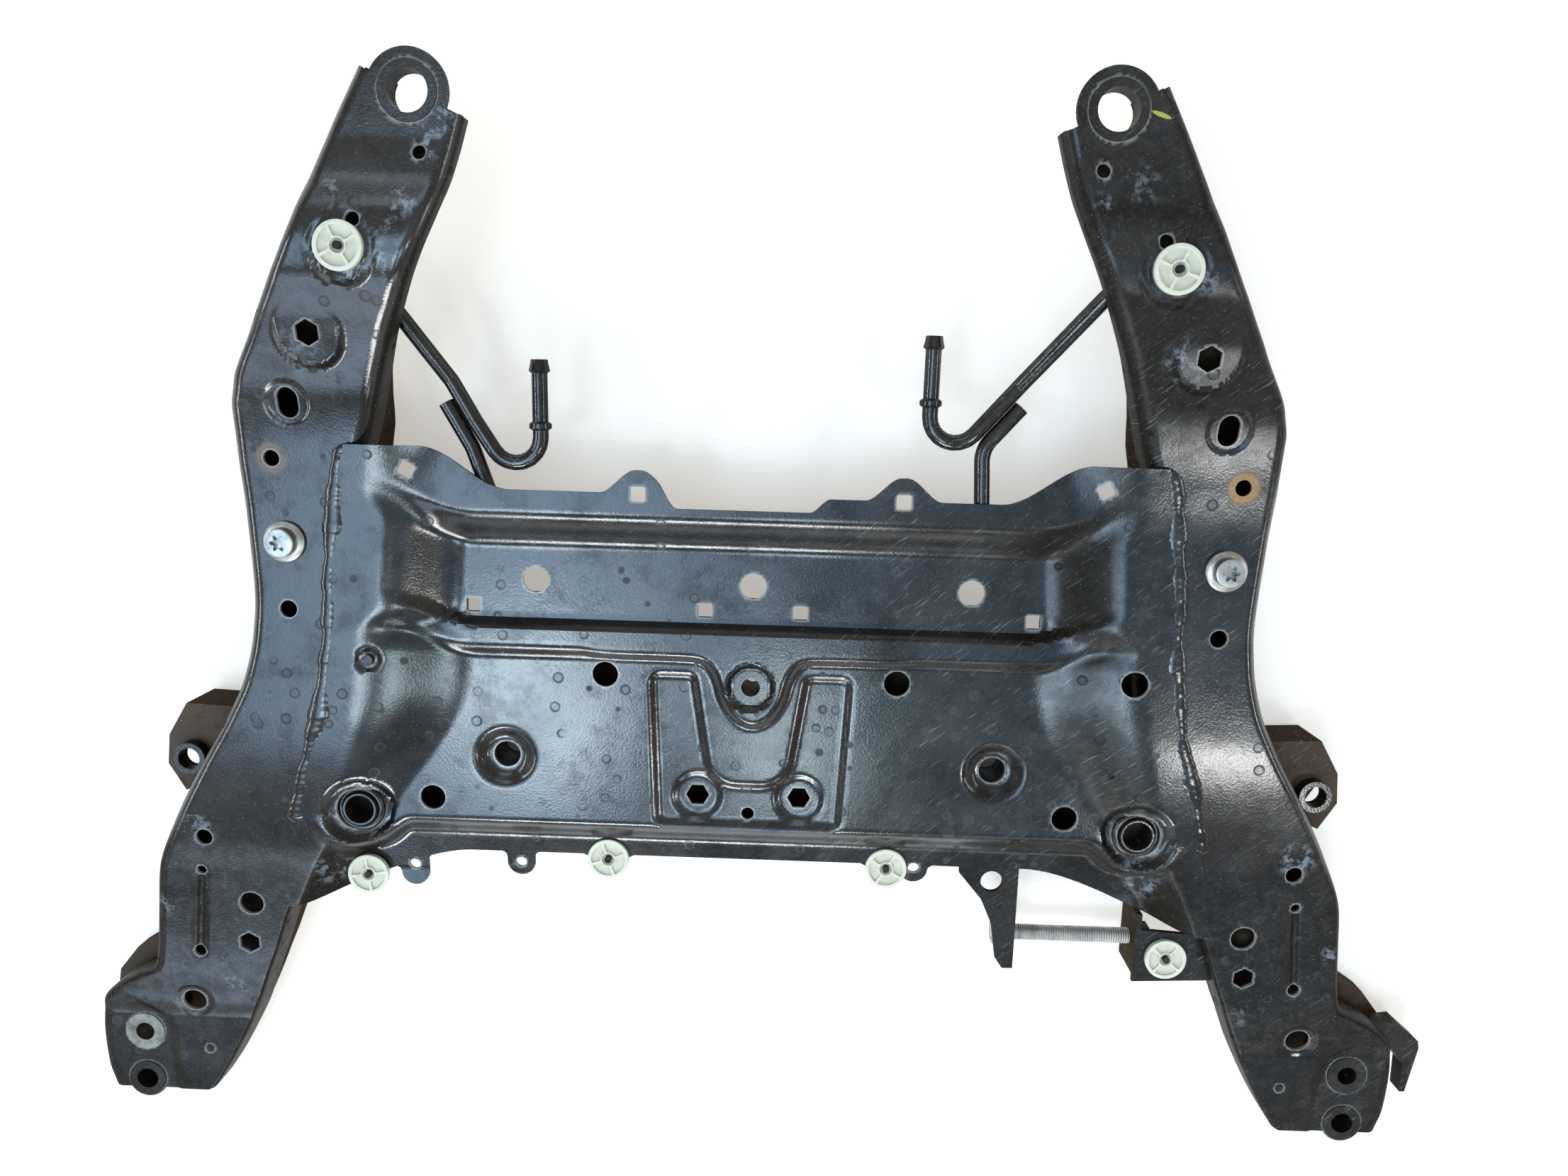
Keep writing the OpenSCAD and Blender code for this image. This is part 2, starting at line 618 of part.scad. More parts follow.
// Stations of the rail whose inner wall the hat section meets
hat_u = [for (u = [9:0.5:15.5]) u];
function hat_end(u) = inner_edge(u) - [sheet_gap, 0];

module crossmember_back() {
    color("#202428") difference() {
        intersection() {
            rotate([90, 0, 90]) linear_extrude(2 * feet_w, center = true) polygon(hat_profile());
            linear_extrude(100) polygon(concat(
                [for (u = hat_u) hat_end(u)],
                [for (k = [len(hat_u) - 1:-1:0]) mirrored(hat_end(hat_u[k]), -1)]
            ));
        }
        for (s = [-1, 1]) {
            drill(mirrored(dimple, s), steer_bore_r);
            drill(mirrored(link, s), link_bore_r);
            for (p = channel_squares) square_hole(mirrored(p, s));
        }
        for (p = channel_holes) drill(p, plate_hole_r);
        drill(centre, centre_bore_r);
    }
}

// Fillet bead along the side edge of the plate, on the rail
seam_ends = [200 * ky, 452 * ky];
seam_steps = 18;
weld_gap = 0.6;
weld_crown = 1;
function seam_row(k) =
    let (
        y = mix(seam_ends[0], seam_ends[1], k / seam_steps),
        x = seam_x(y) + weld_gap,
        z = rail_z(y) + weld_gap
    )
    [
        [x, y, z], [x + weld_leg, y, z], [x + weld_leg * 0.6, y, z + plate_t * 0.9],
        [x, y, z + seam_gap + plate_t + weld_crown]
    ];

module seam_weld(side) {
    both_sides(side) loft([for (k = [0:seam_steps]) seam_row(k)]);
}

// Mount sleeves stand on the backs' floors and end just above the shells
module rear_mount_sleeve(side) {
    color("#1c1f22") tube(mirrored(rear_mount, side), floor_z(rear_mount[1]) + rail_t,
        rail_z(rear_mount[1]) + sleeve_stand, rear_sleeve_r, rear_bore_r);
}

module front_mount_sleeve(side) {
    color("#8d8d88") tube(mirrored(front_mount, side), rail_t, foot_h + sleeve_stand,
        front_sleeve_r, front_bore_r);
}

module front_locator_sleeve(side) {
    color("#1c1f22") tube(mirrored(locator, side), rail_t, foot_h + sleeve_stand,
        locator_sleeve_r, locator_bore_r);
}

// Folded ledge in the corner between leg and foot, against the rail's back
gusset_z = 15;
gusset_t = 2.5;
gusset_u = [for (u = [2.5:0.5:7.5]) u];
gusset_plan = [at([440.5, 81]), at([453, 67]), at([474, 53]), at([489, 34]), at([493, 9])];

module foot_gusset(side) {
    inset = [for (k = [len(gusset_plan) - 1:-1:0]) gusset_plan[k] - [gusset_t, 0]];
    color(bracket_brown) both_sides(side) {
        translate([0, 0, gusset_z - gusset_t]) linear_extrude(gusset_t)
            polygon(concat([for (u = gusset_u) wall_point(u) + [sheet_gap, 0]], gusset_plan));
        linear_extrude(gusset_z - gusset_t / 2) polygon(concat(gusset_plan, inset));
    }
}

// Folded clip outboard of the right foot
clip_z = [foot_h - 24, foot_h - 10];
clip_u = [3, 3.5, 4];
clip_plan = [
    at([492, 40]), at([511, 24]), at([512, 18]), at([505.5, -18]), at([501.5, -18]), at([501, 5])
];

module foot_clip_right() {
    color("#151719") translate([0, 0, clip_z[0]]) linear_extrude(clip_z[1] - clip_z[0])
        polygon(concat([for (u = clip_u) outer_edge(u) + [sheet_gap, 0]], clip_plan));
}

// Folded pocket for the control arm: two plates and a web against the rail
pocket_u = [10.5, 11, 11.5, 12];
pocket_z = 4;
pocket_top = pocket_z + bracket_t + pocket_h;
// Part of a station's length that the web takes up on the rail
web_span = bracket_t / (37 * ky);
pocket_plan = [at([408, 260]), at([422, 236]), at([424, 214]), at([412, 194])];

module pocket_plate(z) {
    translate([0, 0, z]) linear_extrude(bracket_t) polygon(concat(
        [for (u = pocket_u) wall_point(u) + [sheet_gap, 0]], pocket_plan
    ));
}

module control_arm_bracket(side) {
    color(bracket_brown) both_sides(side) difference() {
        union() {
            pocket_plate(pocket_z);
            pocket_plate(pocket_top);
            translate([0, 0, pocket_z]) linear_extrude(pocket_top - pocket_z) polygon([
                wall_point(12) + [sheet_gap, 0], pocket_plan[0], pocket_plan[0] - [0, bracket_t],
                wall_point(12 - web_span) + [sheet_gap, 0]
            ]);
        }
        drill(pocket, collar_bore_r);
    }
}

collar_h = 9;
module control_arm_collar(side) {
    seat = pocket_top + bracket_t;
    color(inner_grey) tube(mirrored(pocket, side), seat, seat + collar_h, collar_r, collar_bore_r);
}

// Torque rod clevis on the right: two walls with a bolt across them
clevis_x = 199.5 * kx;
clevis_y = 98 * ky;
outer_x = clevis_x + clevis_gap;
clevis_foot = clevis_z - 18;
inner_top = front_z - plate_t - sheet_gap;
inner_ends = [76 * ky, 158 * ky];
inner_hole = at([180, 144]);
inner_hole_r = 8;
clevis_hole_r = clevis_bolt_r + sleeve_gap;

module clevis_web(x, ends, top) {
    translate([x, ends[0], clevis_foot]) cube([bracket_t, ends[1] - ends[0], top - clevis_foot]);
}

module cross_bore() {
    translate([clevis_x, clevis_y, clevis_z]) rotate([0, 90, 0])
        cylinder(r = clevis_hole_r, h = cut_l, center = true);
}

module clevis_inner_bracket() {
    color("#1d2023") difference() {
        union() {
            clevis_web(clevis_x - bracket_t, inner_ends, inner_top);
            translate([0, 0, inner_top - bracket_t]) linear_extrude(bracket_t) polygon([
                [clevis_x, inner_ends[1]], at([156, 158]), at([156, 150]), at([173, 130]), at([182, 110]),
                at([186, 84]), [clevis_x - 2 * bracket_t, inner_ends[0]], [clevis_x, inner_ends[0]]
            ]);
        }
        drill(inner_hole, inner_hole_r);
        cross_bore();
    }
}

platform_z = front_z + 1;
outer_ends = [76 * ky, 124 * ky];
platform_y = [71 * ky, 112 * ky];
clevis_washer = at([310, 91]);
// Stations of the leg's inner wall that the platform meets
platform_u = [7, 7.5, 8];

module clevis_outer_bracket() {
    color("#1d2023") difference() {
        union() {
            clevis_web(outer_x, outer_ends, platform_z);
            translate([0, 0, platform_z - bracket_t]) linear_extrude(bracket_t) polygon(concat(
                [[outer_x, platform_y[0]]], [for (u = platform_u) inner_edge(u) - [sheet_gap, 0]],
                [[outer_x, platform_y[1]]]
            ));
        }
        cross_bore();
        drill(clevis_washer, stud_r + sleeve_gap);
    }
}

clevis_head_r = 9.5;
clevis_head_h = 9;
clevis_flange_t = 2;
clevis_flange_w = 1.3;
bolt_end = 2;

module clevis_bolt() {
    color("#a9adb0") translate([clevis_x - bracket_t, clevis_y, clevis_z]) rotate([0, 90, 0]) {
        cylinder(r = clevis_bolt_r, h = clevis_gap + 2 * bracket_t + nut_h + bolt_end);
        translate([0, 0, -clevis_flange_t])
            cylinder(r = clevis_head_r + clevis_flange_w, h = clevis_flange_t);
        translate([0, 0, -clevis_head_h - clevis_flange_t]) cylinder(r = clevis_head_r, h = clevis_head_h);
    }
}

module hex_nut(w, h, r) {
    difference() {
        cylinder(d = w / cos(30), h = h, $fn = 6);
        cylinder(r = r + sleeve_gap, h = 3 * h, center = true);
    }
}

module clevis_nut() {
    color("#202326") translate([outer_x + bracket_t, clevis_y, clevis_z]) rotate([0, 90, 0])
        hex_nut(nut_w, nut_h, clevis_bolt_r);
}

// Six-lobe flange bolts through the rails, with crush tubes and weld nuts inside
lobe_r = 1.6;
lobe_ring = 4.6;
lobe_depth = 4;
bolt_flange_h = 3;
bolt_step = 4;
bolt_foot = rail_t + 1;
bolt_seat = rail_h + sheet_gap;
crush_wall = 4.5;

module rail_bolt(p) {
    translate([p[0], p[1], bolt_seat]) difference() {
        union() {
            cylinder(r = bolt_flange_r, h = bolt_flange_h);
            cylinder(r = bolt_flange_r - bolt_step, h = bolt_head_h);
            translate([0, 0, bolt_foot - bolt_seat]) cylinder(r = bolt_r, h = bolt_seat - bolt_foot);
        }
        translate([0, 0, bolt_head_h]) {
            cylinder(r = lobe_ring, h = 2 * lobe_depth, center = true);
            for (k = [0:5]) rotate(60 * k) translate([lobe_ring, 0, 0])
                cylinder(r = lobe_r, h = 2 * lobe_depth, center = true, $fn = 24);
        }
    }
}

module rail_bolts() {
    color("#b9bcbc") for (s = [-1, 1]) rail_bolt(mirrored(bolt_place, s));
}

module rail_bolt_tubes() {
    color(inner_grey) for (s = [-1, 1])
        tube(mirrored(bolt_place, s), rail_t + nut_h, rail_h - rail_t,
            bolt_r + crush_wall, bolt_r + sleeve_gap);
}

module rail_bolt_nuts() {
    color(inner_grey) for (s = [-1, 1]) translate([s * bolt_place[0], bolt_place[1], rail_t])
        hex_nut(nut_w, nut_h, bolt_r);
}

// Plastic push-on washers and the studs that carry them: place, seat height and sheet below.
// The arms fall away from their crown below the washers.
arm_seat_t = rail_t + 2;
washer_seats = [
    [mirrored(arm_washer, -1), rail_z(arm_washer[1]), arm_seat_t],
    [arm_washer, rail_z(arm_washer[1]), arm_seat_t],
    [mirrored(front_washer, -1), front_z, plate_t], [front_washer, front_z, plate_t],
    [corner_washer, front_z, plate_t], [clevis_washer, platform_z, bracket_t]
];
washer_bore_r = stud_r + sleeve_gap;
washer_edge = 0.8;
pocket_depth = 1.2;
pocket_angle = 70;
stud_root_h = 1;
stud_root_r = stud_r + 2;
stud_tip = 1;

module retaining_washer() {
    difference() {
        rotate_extrude() polygon([
            [washer_bore_r, 0], [washer_r, 0], [washer_r, washer_h - washer_edge],
            [washer_r - washer_edge, washer_h], [washer_bore_r, washer_h]
        ]);
        for (k = [0:3]) rotate(90 * k) translate([0, 0, washer_h - pocket_depth])
            rotate_extrude(angle = pocket_angle) translate([washer_r * 0.5, 0])
                square([washer_r * 0.33, 2 * pocket_depth]);
    }
}

module retaining_washers() {
    color("#dfe3cf") for (w = washer_seats) translate([w[0][0], w[0][1], w[1]]) retaining_washer();
}

module retaining_studs() {
    color("#8d9092") for (w = washer_seats) translate([w[0][0], w[0][1], w[1] - w[2] - stud_root_h]) {
        cylinder(r = stud_r, h = stud_root_h + w[2] + washer_h + stud_tip);
        cylinder(r = stud_root_r, h = stud_root_h);
    }
}

// Round bar as rings of [place, direction, radius] along straight lengths and arcs
bend_steps = 7;
bar_sides = 12;
function flat(p, z = 0) = [p[0], p[1], z];
function bend_rings(pts, i, bend_r, r) =
    [for (q = corner_arc(pts[i - 1], pts[i], pts[i + 1], bend_r, bend_steps)) [flat(q[0]), flat(q[1]), r]];
// The first length climbs to the start by the rise
function bar_rings(pts, radii, r, rise) =
    concat(
        [[flat(pts[0], rise), unit(flat(pts[1]) - flat(pts[0], rise)), r]],
        [for (i = [1:len(pts) - 2]) each bend_rings(pts, i, radii[i - 1], r)]
    );
function ring_row(ring) =
    let (p = ring[0], d = ring[1], r = ring[2], across = unit([d[1], -d[0], 0]), up = cross(across, d))
    [for (k = [0:bar_sides - 1]) let (a = 360 * k / bar_sides) p + across * r * cos(a) + up * r * sin(a)];

module bent_bar(rings) {
    loft([for (ring = rings) ring_row(ring)]);
}

// Hanger rods climb from below the plate's flange to the arms' floors.
// A ring and a barbed end hold the rubber on the hook.
rod_z = flange_z - plate_t - rod_r;
// Depth of the rods' starts below those floors, left and right
rod_drops = [7, 7.6];
rod_left = [
    at([-233, 538]), at([-203, 494]), at([-188.2, 468.8]), at([-143.5, 401]), at([-145.2, 510.7])
];
rod_right = [
    at([223.6, 566.1]), at([171.5, 500.9]), at([146.4, 472.1]), at([114.3, 436]), at([115.1, 533.4])
];
rod_bends = [60, 60, hook_r];
barb_r = rod_r + 2.2;
barb_l = 9;
ring_l = 4;
ring_place = 45;
function hook_rings(pts) =
    let (
        tip = flat(pts[4]), d = unit(tip - flat(pts[3])), ring = tip - d * ring_place,
        after = ring + d * ring_l, barb = tip - d * barb_l
    )
    [
        [ring, d, rod_r], [ring, d, barb_r], [after, d, barb_r], [after, d, rod_r],
        [barb, d, rod_r], [barb, d, barb_r], [tip, d, rod_r]
    ];

module hanger_rod(pts, drop) {
    rise = floor_z(pts[0][1]) - drop - rod_z;
    color("#17191b") translate([0, 0, rod_z])
        bent_bar(concat(bar_rings(pts, rod_bends, rod_r, rise), hook_rings(pts)));
}

// Stays run from under the plate's rear flange to the side of the rods: start, knee and end
stay_bend = [20];
function stay_points(rod, start, knee, run, side) =
    let (
        d = unit(rod[1] - rod[2]),
        beside = rod[2] - turned(d, side * 90) * (2 * rod_r + sleeve_gap)
    )
    [start, beside - d * knee, beside + d * run];
stay_left = stay_points(rod_left, at([-176, 412]), 14, 20, -1);
stay_right = stay_points(rod_right, at([153, 412]), 6, 31, 1);

module hanger_stay(pts) {
    tip = [flat(pts[2]), flat(unit(pts[2] - pts[1])), rod_r];
    color("#17191b") translate([0, 0, rod_z]) bent_bar(concat(bar_rings(pts, stay_bend, rod_r, 0), [tip]));
}

// Tubes between the crossmember's plate and back
module steering_sleeve(side) {
    color(inner_grey) tube(mirrored(dimple, side), back_top, plateau_z - dimple_depth - plate_t,
        steer_sleeve_r, steer_bore_r);
}

link_top = 68;
module link_sleeve(side) {
    color("#25282b") tube(mirrored(link, side), back_top, link_top, link_sleeve_r, link_bore_r);
}

module centre_sleeve() {
    color("#25282b") tube(centre, back_top, plateau_z + sleeve_stand, centre_sleeve_r, centre_bore_r);
}

// Small bolt through the left end of the ledge, with its nut just below the slope there
boss_place = mirrored(bolt_boss, -1);
boss_z = plate_z(boss_place[0], boss_place[1]);
plate_nut_w = 13;
plate_nut_h = 7;
plate_bolt_stand = 3;
boss_drop = plate_t + 3.3;

module plate_bolt() {
    length = plate_bolt_stand + boss_drop + plate_nut_h + bolt_end;
    color("#9da1a3") translate([boss_place[0], boss_place[1], boss_z + plate_bolt_stand - length])
        cylinder(r = plate_bolt_r, h = length);
}

module plate_nut() {
    color(inner_grey) translate([boss_place[0], boss_place[1], boss_z - boss_drop - plate_nut_h])
        hex_nut(plate_nut_w, plate_nut_h, plate_bolt_r);
}

crossmember_plate();
crossmember_back();
color(sheet_black) rail_shell(-1);  // rail_shell_left
color(sheet_black) rail_shell(1);  // rail_shell_right
color(sheet_black) rail_back(-1);  // rail_back_left
color(sheet_black) rail_back(1);  // rail_back_right
color(sheet_black) seam_weld(-1);  // seam_weld_left
color(sheet_black) seam_weld(1);  // seam_weld_right
rear_mount_sleeve(-1);  // rear_mount_sleeve_left
rear_mount_sleeve(1);  // rear_mount_sleeve_right
front_mount_sleeve(-1);  // front_mount_sleeve_left
front_mount_sleeve(1);  // front_mount_sleeve_right
front_locator_sleeve(-1);  // front_locator_sleeve_left
front_locator_sleeve(1);  // front_locator_sleeve_right
foot_gusset(-1);  // foot_gusset_left
foot_gusset(1);  // foot_gusset_right
foot_clip_right();
control_arm_bracket(-1);  // control_arm_bracket_left
control_arm_bracket(1);  // control_arm_bracket_right
control_arm_collar(-1);  // control_arm_collar_left
control_arm_collar(1);  // control_arm_collar_right
clevis_inner_bracket();
clevis_outer_bracket();
clevis_bolt();
clevis_nut();
rail_bolts();
rail_bolt_tubes();
rail_bolt_nuts();
retaining_washers();
retaining_studs();
hanger_rod(rod_left, rod_drops[0]);  // hanger_rod_left
hanger_rod(rod_right, rod_drops[1]);  // hanger_rod_right
hanger_stay(stay_left);  // hanger_stay_left
hanger_stay(stay_right);  // hanger_stay_right
steering_sleeve(-1);  // steering_sleeve_left
steering_sleeve(1);  // steering_sleeve_right
link_sleeve(-1);  // link_sleeve_left
link_sleeve(1);  // link_sleeve_right
centre_sleeve();
plate_bolt();
plate_nut();
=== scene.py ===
import math

import bmesh
import bpy
import numpy as np
from bpy.props import FloatProperty, FloatVectorProperty, PointerProperty
from mathutils import Matrix, Vector


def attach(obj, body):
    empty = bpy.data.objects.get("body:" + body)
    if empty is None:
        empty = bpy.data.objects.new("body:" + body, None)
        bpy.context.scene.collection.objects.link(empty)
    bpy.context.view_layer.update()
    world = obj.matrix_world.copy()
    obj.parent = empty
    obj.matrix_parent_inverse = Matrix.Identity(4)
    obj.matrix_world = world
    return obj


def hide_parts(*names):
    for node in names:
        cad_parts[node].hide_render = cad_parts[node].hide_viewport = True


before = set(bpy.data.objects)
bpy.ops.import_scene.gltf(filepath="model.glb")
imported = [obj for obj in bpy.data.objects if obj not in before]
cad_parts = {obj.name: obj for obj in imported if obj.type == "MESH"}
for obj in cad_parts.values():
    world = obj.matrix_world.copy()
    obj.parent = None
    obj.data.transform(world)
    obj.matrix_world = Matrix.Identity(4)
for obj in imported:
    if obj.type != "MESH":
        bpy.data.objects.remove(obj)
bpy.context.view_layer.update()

bl_info = {
    "name": "Front Subframe",
    "version": (1, 0, 0),
    "blender": (4, 5, 0),
    "location": "3D View > Sidebar > Subframe",
    "description": "Dresses the packed solids of a pressed steel front subframe",
    "category": "Object",
}

MM = 0.001


def linear(code):
    """Turns an sRGB hex colour to linear red, green and blue."""
    parts = [int(code[i:i + 2], 16) / 255 for i in (1, 3, 5)]
    return tuple(c / 12.92 if c <= 0.04045 else ((c + 0.055) / 1.055) ** 2.4 for c in parts)


# Curves shared with the solids, in mm

def ramp(a, b, x):
    """Smooth step from 0 at a to 1 at b."""
    t = np.clip((x - a) / (b - a), 0, 1)
    return t * t * (3 - 2 * t)


def mix(a, b, t):
    """Value between a and b."""
    return a + (b - a) * t


def curve(table, x):
    """Smooth curve through rows of key and value, without overshoot."""
    key, value = np.array(table, float).T
    width = np.diff(key)
    slope = np.diff(value) / width
    tangent = np.concatenate([slope[:1], np.zeros(len(key) - 2), slope[-1:]])
    product = slope[:-1] * slope[1:]
    total = slope[:-1] + slope[1:]
    tangent[1:-1] = np.where(product > 0, 2 * product / np.where(product > 0, total, 1), 0)
    i = np.clip(np.searchsorted(key, x, side="left") - 1, 0, len(width) - 1)
    t = np.clip((x - key[i]) / width[i], 0, 1)
    s = 1 - t
    return (value[i] * (1 + 2 * t) * s * s + tangent[i] * width[i] * t * s * s
            + value[i + 1] * t * t * (3 - 2 * t) - tangent[i + 1] * width[i] * t * t * s)


RAIL_PLAN = np.array([
    [484, -47, 405, -47], [489, -28, 393, -28], [490.5, -2, 379, -2], [488, 22, 367.5, 22],
    [476, 37, 361, 37], [458, 48, 356.5, 48], [443, 56, 353.5, 56], [437.5, 74, 346, 74],
    [432.5, 109, 333, 109], [428, 139, 321, 135], [411, 179, 303, 172], [388, 221, 290, 218],
    [366, 258, 282, 258], [352, 288, 277, 288], [344.5, 319, 274, 319], [342, 348, 272, 348],
    [344.5, 398, 268, 398], [345.8, 420, 265.3, 419], [346.5, 442, 262, 440], [346, 471, 254, 464],
    [341, 491, 247.5, 484], [318, 528, 234, 517], [290, 573, 214, 556], [265, 635, 194, 601],
    [242, 681, 179, 652.5],
])
LAST = len(RAIL_PLAN) - 1
RAIL_HEIGHTS = [
    [-60, 44], [13, 44], [29, 48], [56, 53.5], [74, 56], [141, 64], [169, 68], [269, 76], [403, 76], [441, 80],
    [479, 88], [510, 101], [540, 117], [562, 127.5], [578, 130.4], [594, 128.8], [618, 121.1], [640, 118.075],
    [690, 118.075],
]
SEAM_PLAN = [
    [115, 336], [123, 333], [158, 326], [217, 310.5], [243, 303], [270, 295], [290, 291.5],
    [318, 288], [378, 283.6], [406, 280.5], [430, 277], [454, 270.5],
]
EDGE_R = 9
SKIRT, ARM_SKIRT = 26, 15
SEAM_GAP = 0.6
FLANGE_Z, CHANNEL_Z, CREST_Z, PLATEAU_Z, FRONT_Z = 75, 58, 66, 61, 45
ROD_R = 5.25
ROD_Z = 67.25


def plan_line(columns, u):
    """Points of a rail's edge at stations u, from 0 at the foot to LAST at the arm's tip."""
    keys = np.arange(LAST + 1)
    return np.stack([curve(np.column_stack([keys, RAIL_PLAN[:, c]]), u) for c in columns], -1)


def rail_z(y):
    """Height of a rail's top."""
    return curve(RAIL_HEIGHTS, y)


def seam_x(y):
    """Side edge of the plate, along the weld."""
    return curve(SEAM_PLAN, y)


def inner_x(y):
    """Inner edge of a rail beside the plate."""
    return curve(RAIL_PLAN[8:20][:, [3, 2]], y)


def pressed_z(y):
    """Height of the crossmember plate along its middle."""
    front = FRONT_Z + 0.16 * np.clip(y - 153.5, -14, 20)
    return (FLANGE_Z - (FLANGE_Z - CHANNEL_Z) * (1 - ramp(383, 411, y))
            + (CREST_Z - CHANNEL_Z) * (1 - ramp(327.5, 335, y)) - (CREST_Z - PLATEAU_Z) * (1 - ramp(305, 317, y))
            - (PLATEAU_Z - front) * (1 - ramp(169, 187, y)))


def side_share(x, y):
    """How far the plate has risen to the rail: 0 on the plateau and 1 on the rail."""
    rim = inner_x(y) - 2 - 14 * ramp(322, 345, y) * (1 - ramp(398, 425, y))
    width = mix(35, 84, ramp(160, 290, y)) * mix(1, 0.68, ramp(310, 335, y))
    return ramp(rim - width, rim, np.abs(x))


def bow(x, y):
    """How far the pressed lines bend to the rear towards the rails."""
    return 22 * ramp(190, 262, np.abs(x)) * ramp(255, 300, y)


def lapped_z(y, sheet):
    """Height of the plate where it lies on a rail."""
    return rail_z(y) + SEAM_GAP + sheet


def rear_y(x):
    """Rear edge of the plate, with the two bell-shaped tabs."""
    step = np.where(x < 0, ramp(52, 66, -x), ramp(37, 51, x))
    tabs = sum(15.5 * (1 - ramp(2, 26, np.abs(x - c))) for c in (-78.2, 99.8))
    return 415 + 9.5 * step + 27.5 * ramp(165, 225, np.abs(x)) + tabs


def front_y(x):
    """Front edge of the plate, without its ears."""
    return 156 - 41 * ramp(200, 338, np.abs(x))


def rounded(points, times=3):
    """Closed line through points with its corners cut down to round ones."""
    p = np.array(points, float)
    for _ in range(times):
        q = np.roll(p, -1, 0)
        p = np.stack([mix(p, q, 0.25), mix(p, q, 0.75)], 1).reshape(-1, 2)
    return p


def outline_distance(x, y, line):
    """Distance of each point from a closed line, below zero inside it."""
    best = np.full(x.shape, 1e9)
    inside = np.zeros(x.shape, bool)
    for a, b in zip(line, np.roll(line, -1, 0)):
        d = b - a
        t = np.clip(((x - a[0]) * d[0] + (y - a[1]) * d[1]) / max(d @ d, 1e-9), 0, 1)
        best = np.minimum(best, np.hypot(x - a[0] - t * d[0], y - a[1] - t * d[1]))
        if a[1] != b[1]:
            inside ^= ((a[1] > y) != (b[1] > y)) & (x < a[0] + (y - a[1]) * d[0] / d[1])
    return np.where(inside, -best, best)


def arc(centre, r, start, stop, steps):
    """Points round a centre, with the angles in degrees."""
    a = np.radians(np.linspace(start, stop, steps + 1))
    return np.column_stack([centre[0] + r * np.cos(a), centre[1] + r * np.sin(a)])


# Places on the part, in mm, right side where there are two
REAR_MOUNT, FRONT_MOUNT, LOCATOR = (211.6, 665), (455, 0), (455.6, -39.2)
RAIL_BOLT, ARM_WASHER, ARM_HEX, ARM_SLOT = (316.1, 385), (250.3, 573), (281.3, 522.4), (305.8, 478)
LEG_HEX, BEAD_ENDS, STAIN = (365, 82.3), ((393.9, 141), (402.9, 73.5)), (321.3, 441)
FOOT_HOLE = (413.8, 29)
RAIL_HOLES = [
    ((205.1, 630), 4.25), ((242.7, 589), 4.4), (STAIN, 5.5), ((316.1, 338.4), 6), ((388.3, 168), 6),
    ((360, 115.3), 8.8), (FOOT_HOLE, 8.9), ((405.6, -11.8), 3.5), (BEAD_ENDS[0], 3.5), (BEAD_ENDS[1], 4.5),
]
TABS, CORNER_SQUARE = ((-78.2, 424), (99.8, 424)), (232.3, 436)
CHANNEL_HOLES, CHANNEL_SQUARES = ((-150.7, 361), (0, 361), (150.7, 361)), ((194.4, 342), (33.2, 343))
PLATE_HOLES, DIMPLE, LINK = ((101.9, 296), (225.1, 201.4)), (172.9, 233.4), (276.2, 192.3)
PLATE_HEX, DRAIN, CENTRE, BOLT_BOSS = (36.2, 208.2), (0, 196), (0, 290.2), (262, 305)
FRONT_WASHER, CORNER_WASHER, CLEVIS_WASHER = (101.5, 153.5), (-278.4, 135.3), (310, 91)
EARS = ((-245.2, 142.4), (-166.2, 147.2), (121.8, 153.7))
# Corners of the lowered panel and their radii
PANEL = [
    ((-69.5, 297), 6), ((-40, 297), 5), ((-27, 217), 22), ((27, 217), 22), ((39, 297), 5), ((69.5, 297), 6),
    ((64.4, 188), 5), ((-64.4, 188), 5),
]
TONGUE = [
    (-120, 330), (-120, 310.5), (-48, 311), (-33, 309), (-24, 298), (-20, 280), (-10, 266), (2, 261), (14, 266),
    (23, 280), (27, 298), (34, 308), (44, 311), (120, 310.5), (120, 330),
]
FOOT_CREASE = [(464, 32), (436, 12.4), (432, -5.4), (431.4, -60)]
ROD_LEFT = [(-233, 538), (-203, 494), (-188.2, 468.8), (-143.5, 401), (-145.2, 510.7)]
ROD_RIGHT = [(223.6, 566.1), (171.5, 500.9), (146.4, 472.1), (114.3, 436), (115.1, 533.4)]
ROD_RISES = (17, 34.6)
CLEVIS_AXIS = (98, 27)
CLEVIS_ENDS = (195.5, 303.5)
# Scuffed places: centre, radius and strength
SCUFFS = [
    ((-198, 637), 14, 1), ((-191, 649), 11, 1), ((-213, 600), 13, 0.9), ((-222, 583), 11, 0.8),
    ((-231, 566), 15, 0.6), ((-255, 609), 11, 0.7), ((-289, 512), 22, 0.4), ((205.5, 611), 9, 0.8),
    ((228, 622), 16, 0.45), ((267, 568), 12, 0.7), ((268, 520), 20, 0.6), ((388, 180), 17, 1),
    ((424, 104), 9, 0.8), ((-392, 178), 15, 0.7), ((-425, 110), 12, 0.6), ((371, 52), 16, 0.4),
    ((-380, 45), 16, 0.4), ((287, 149), 16, 0.7), ((-300, 142), 18, 0.6), ((276, 168), 10, 0.8),
]
# Radius of the plain holes and of the stud holes, and width of the square ones
PLAIN_R, STUD_R, SQUARE = 9, 2.65, 10
# Height of the rail bolts' seats
BOLT_SEAT_Z = 76.2
# Cutters reach from below the part to above it
CUT_LOW, CUT_HIGH = -20, 160


# Tools

def alone(piece):
    """Makes a piece the only selected and active one."""
    bpy.ops.object.select_all(action="DESELECT")
    piece.select_set(True)
    bpy.context.view_layer.objects.active = piece


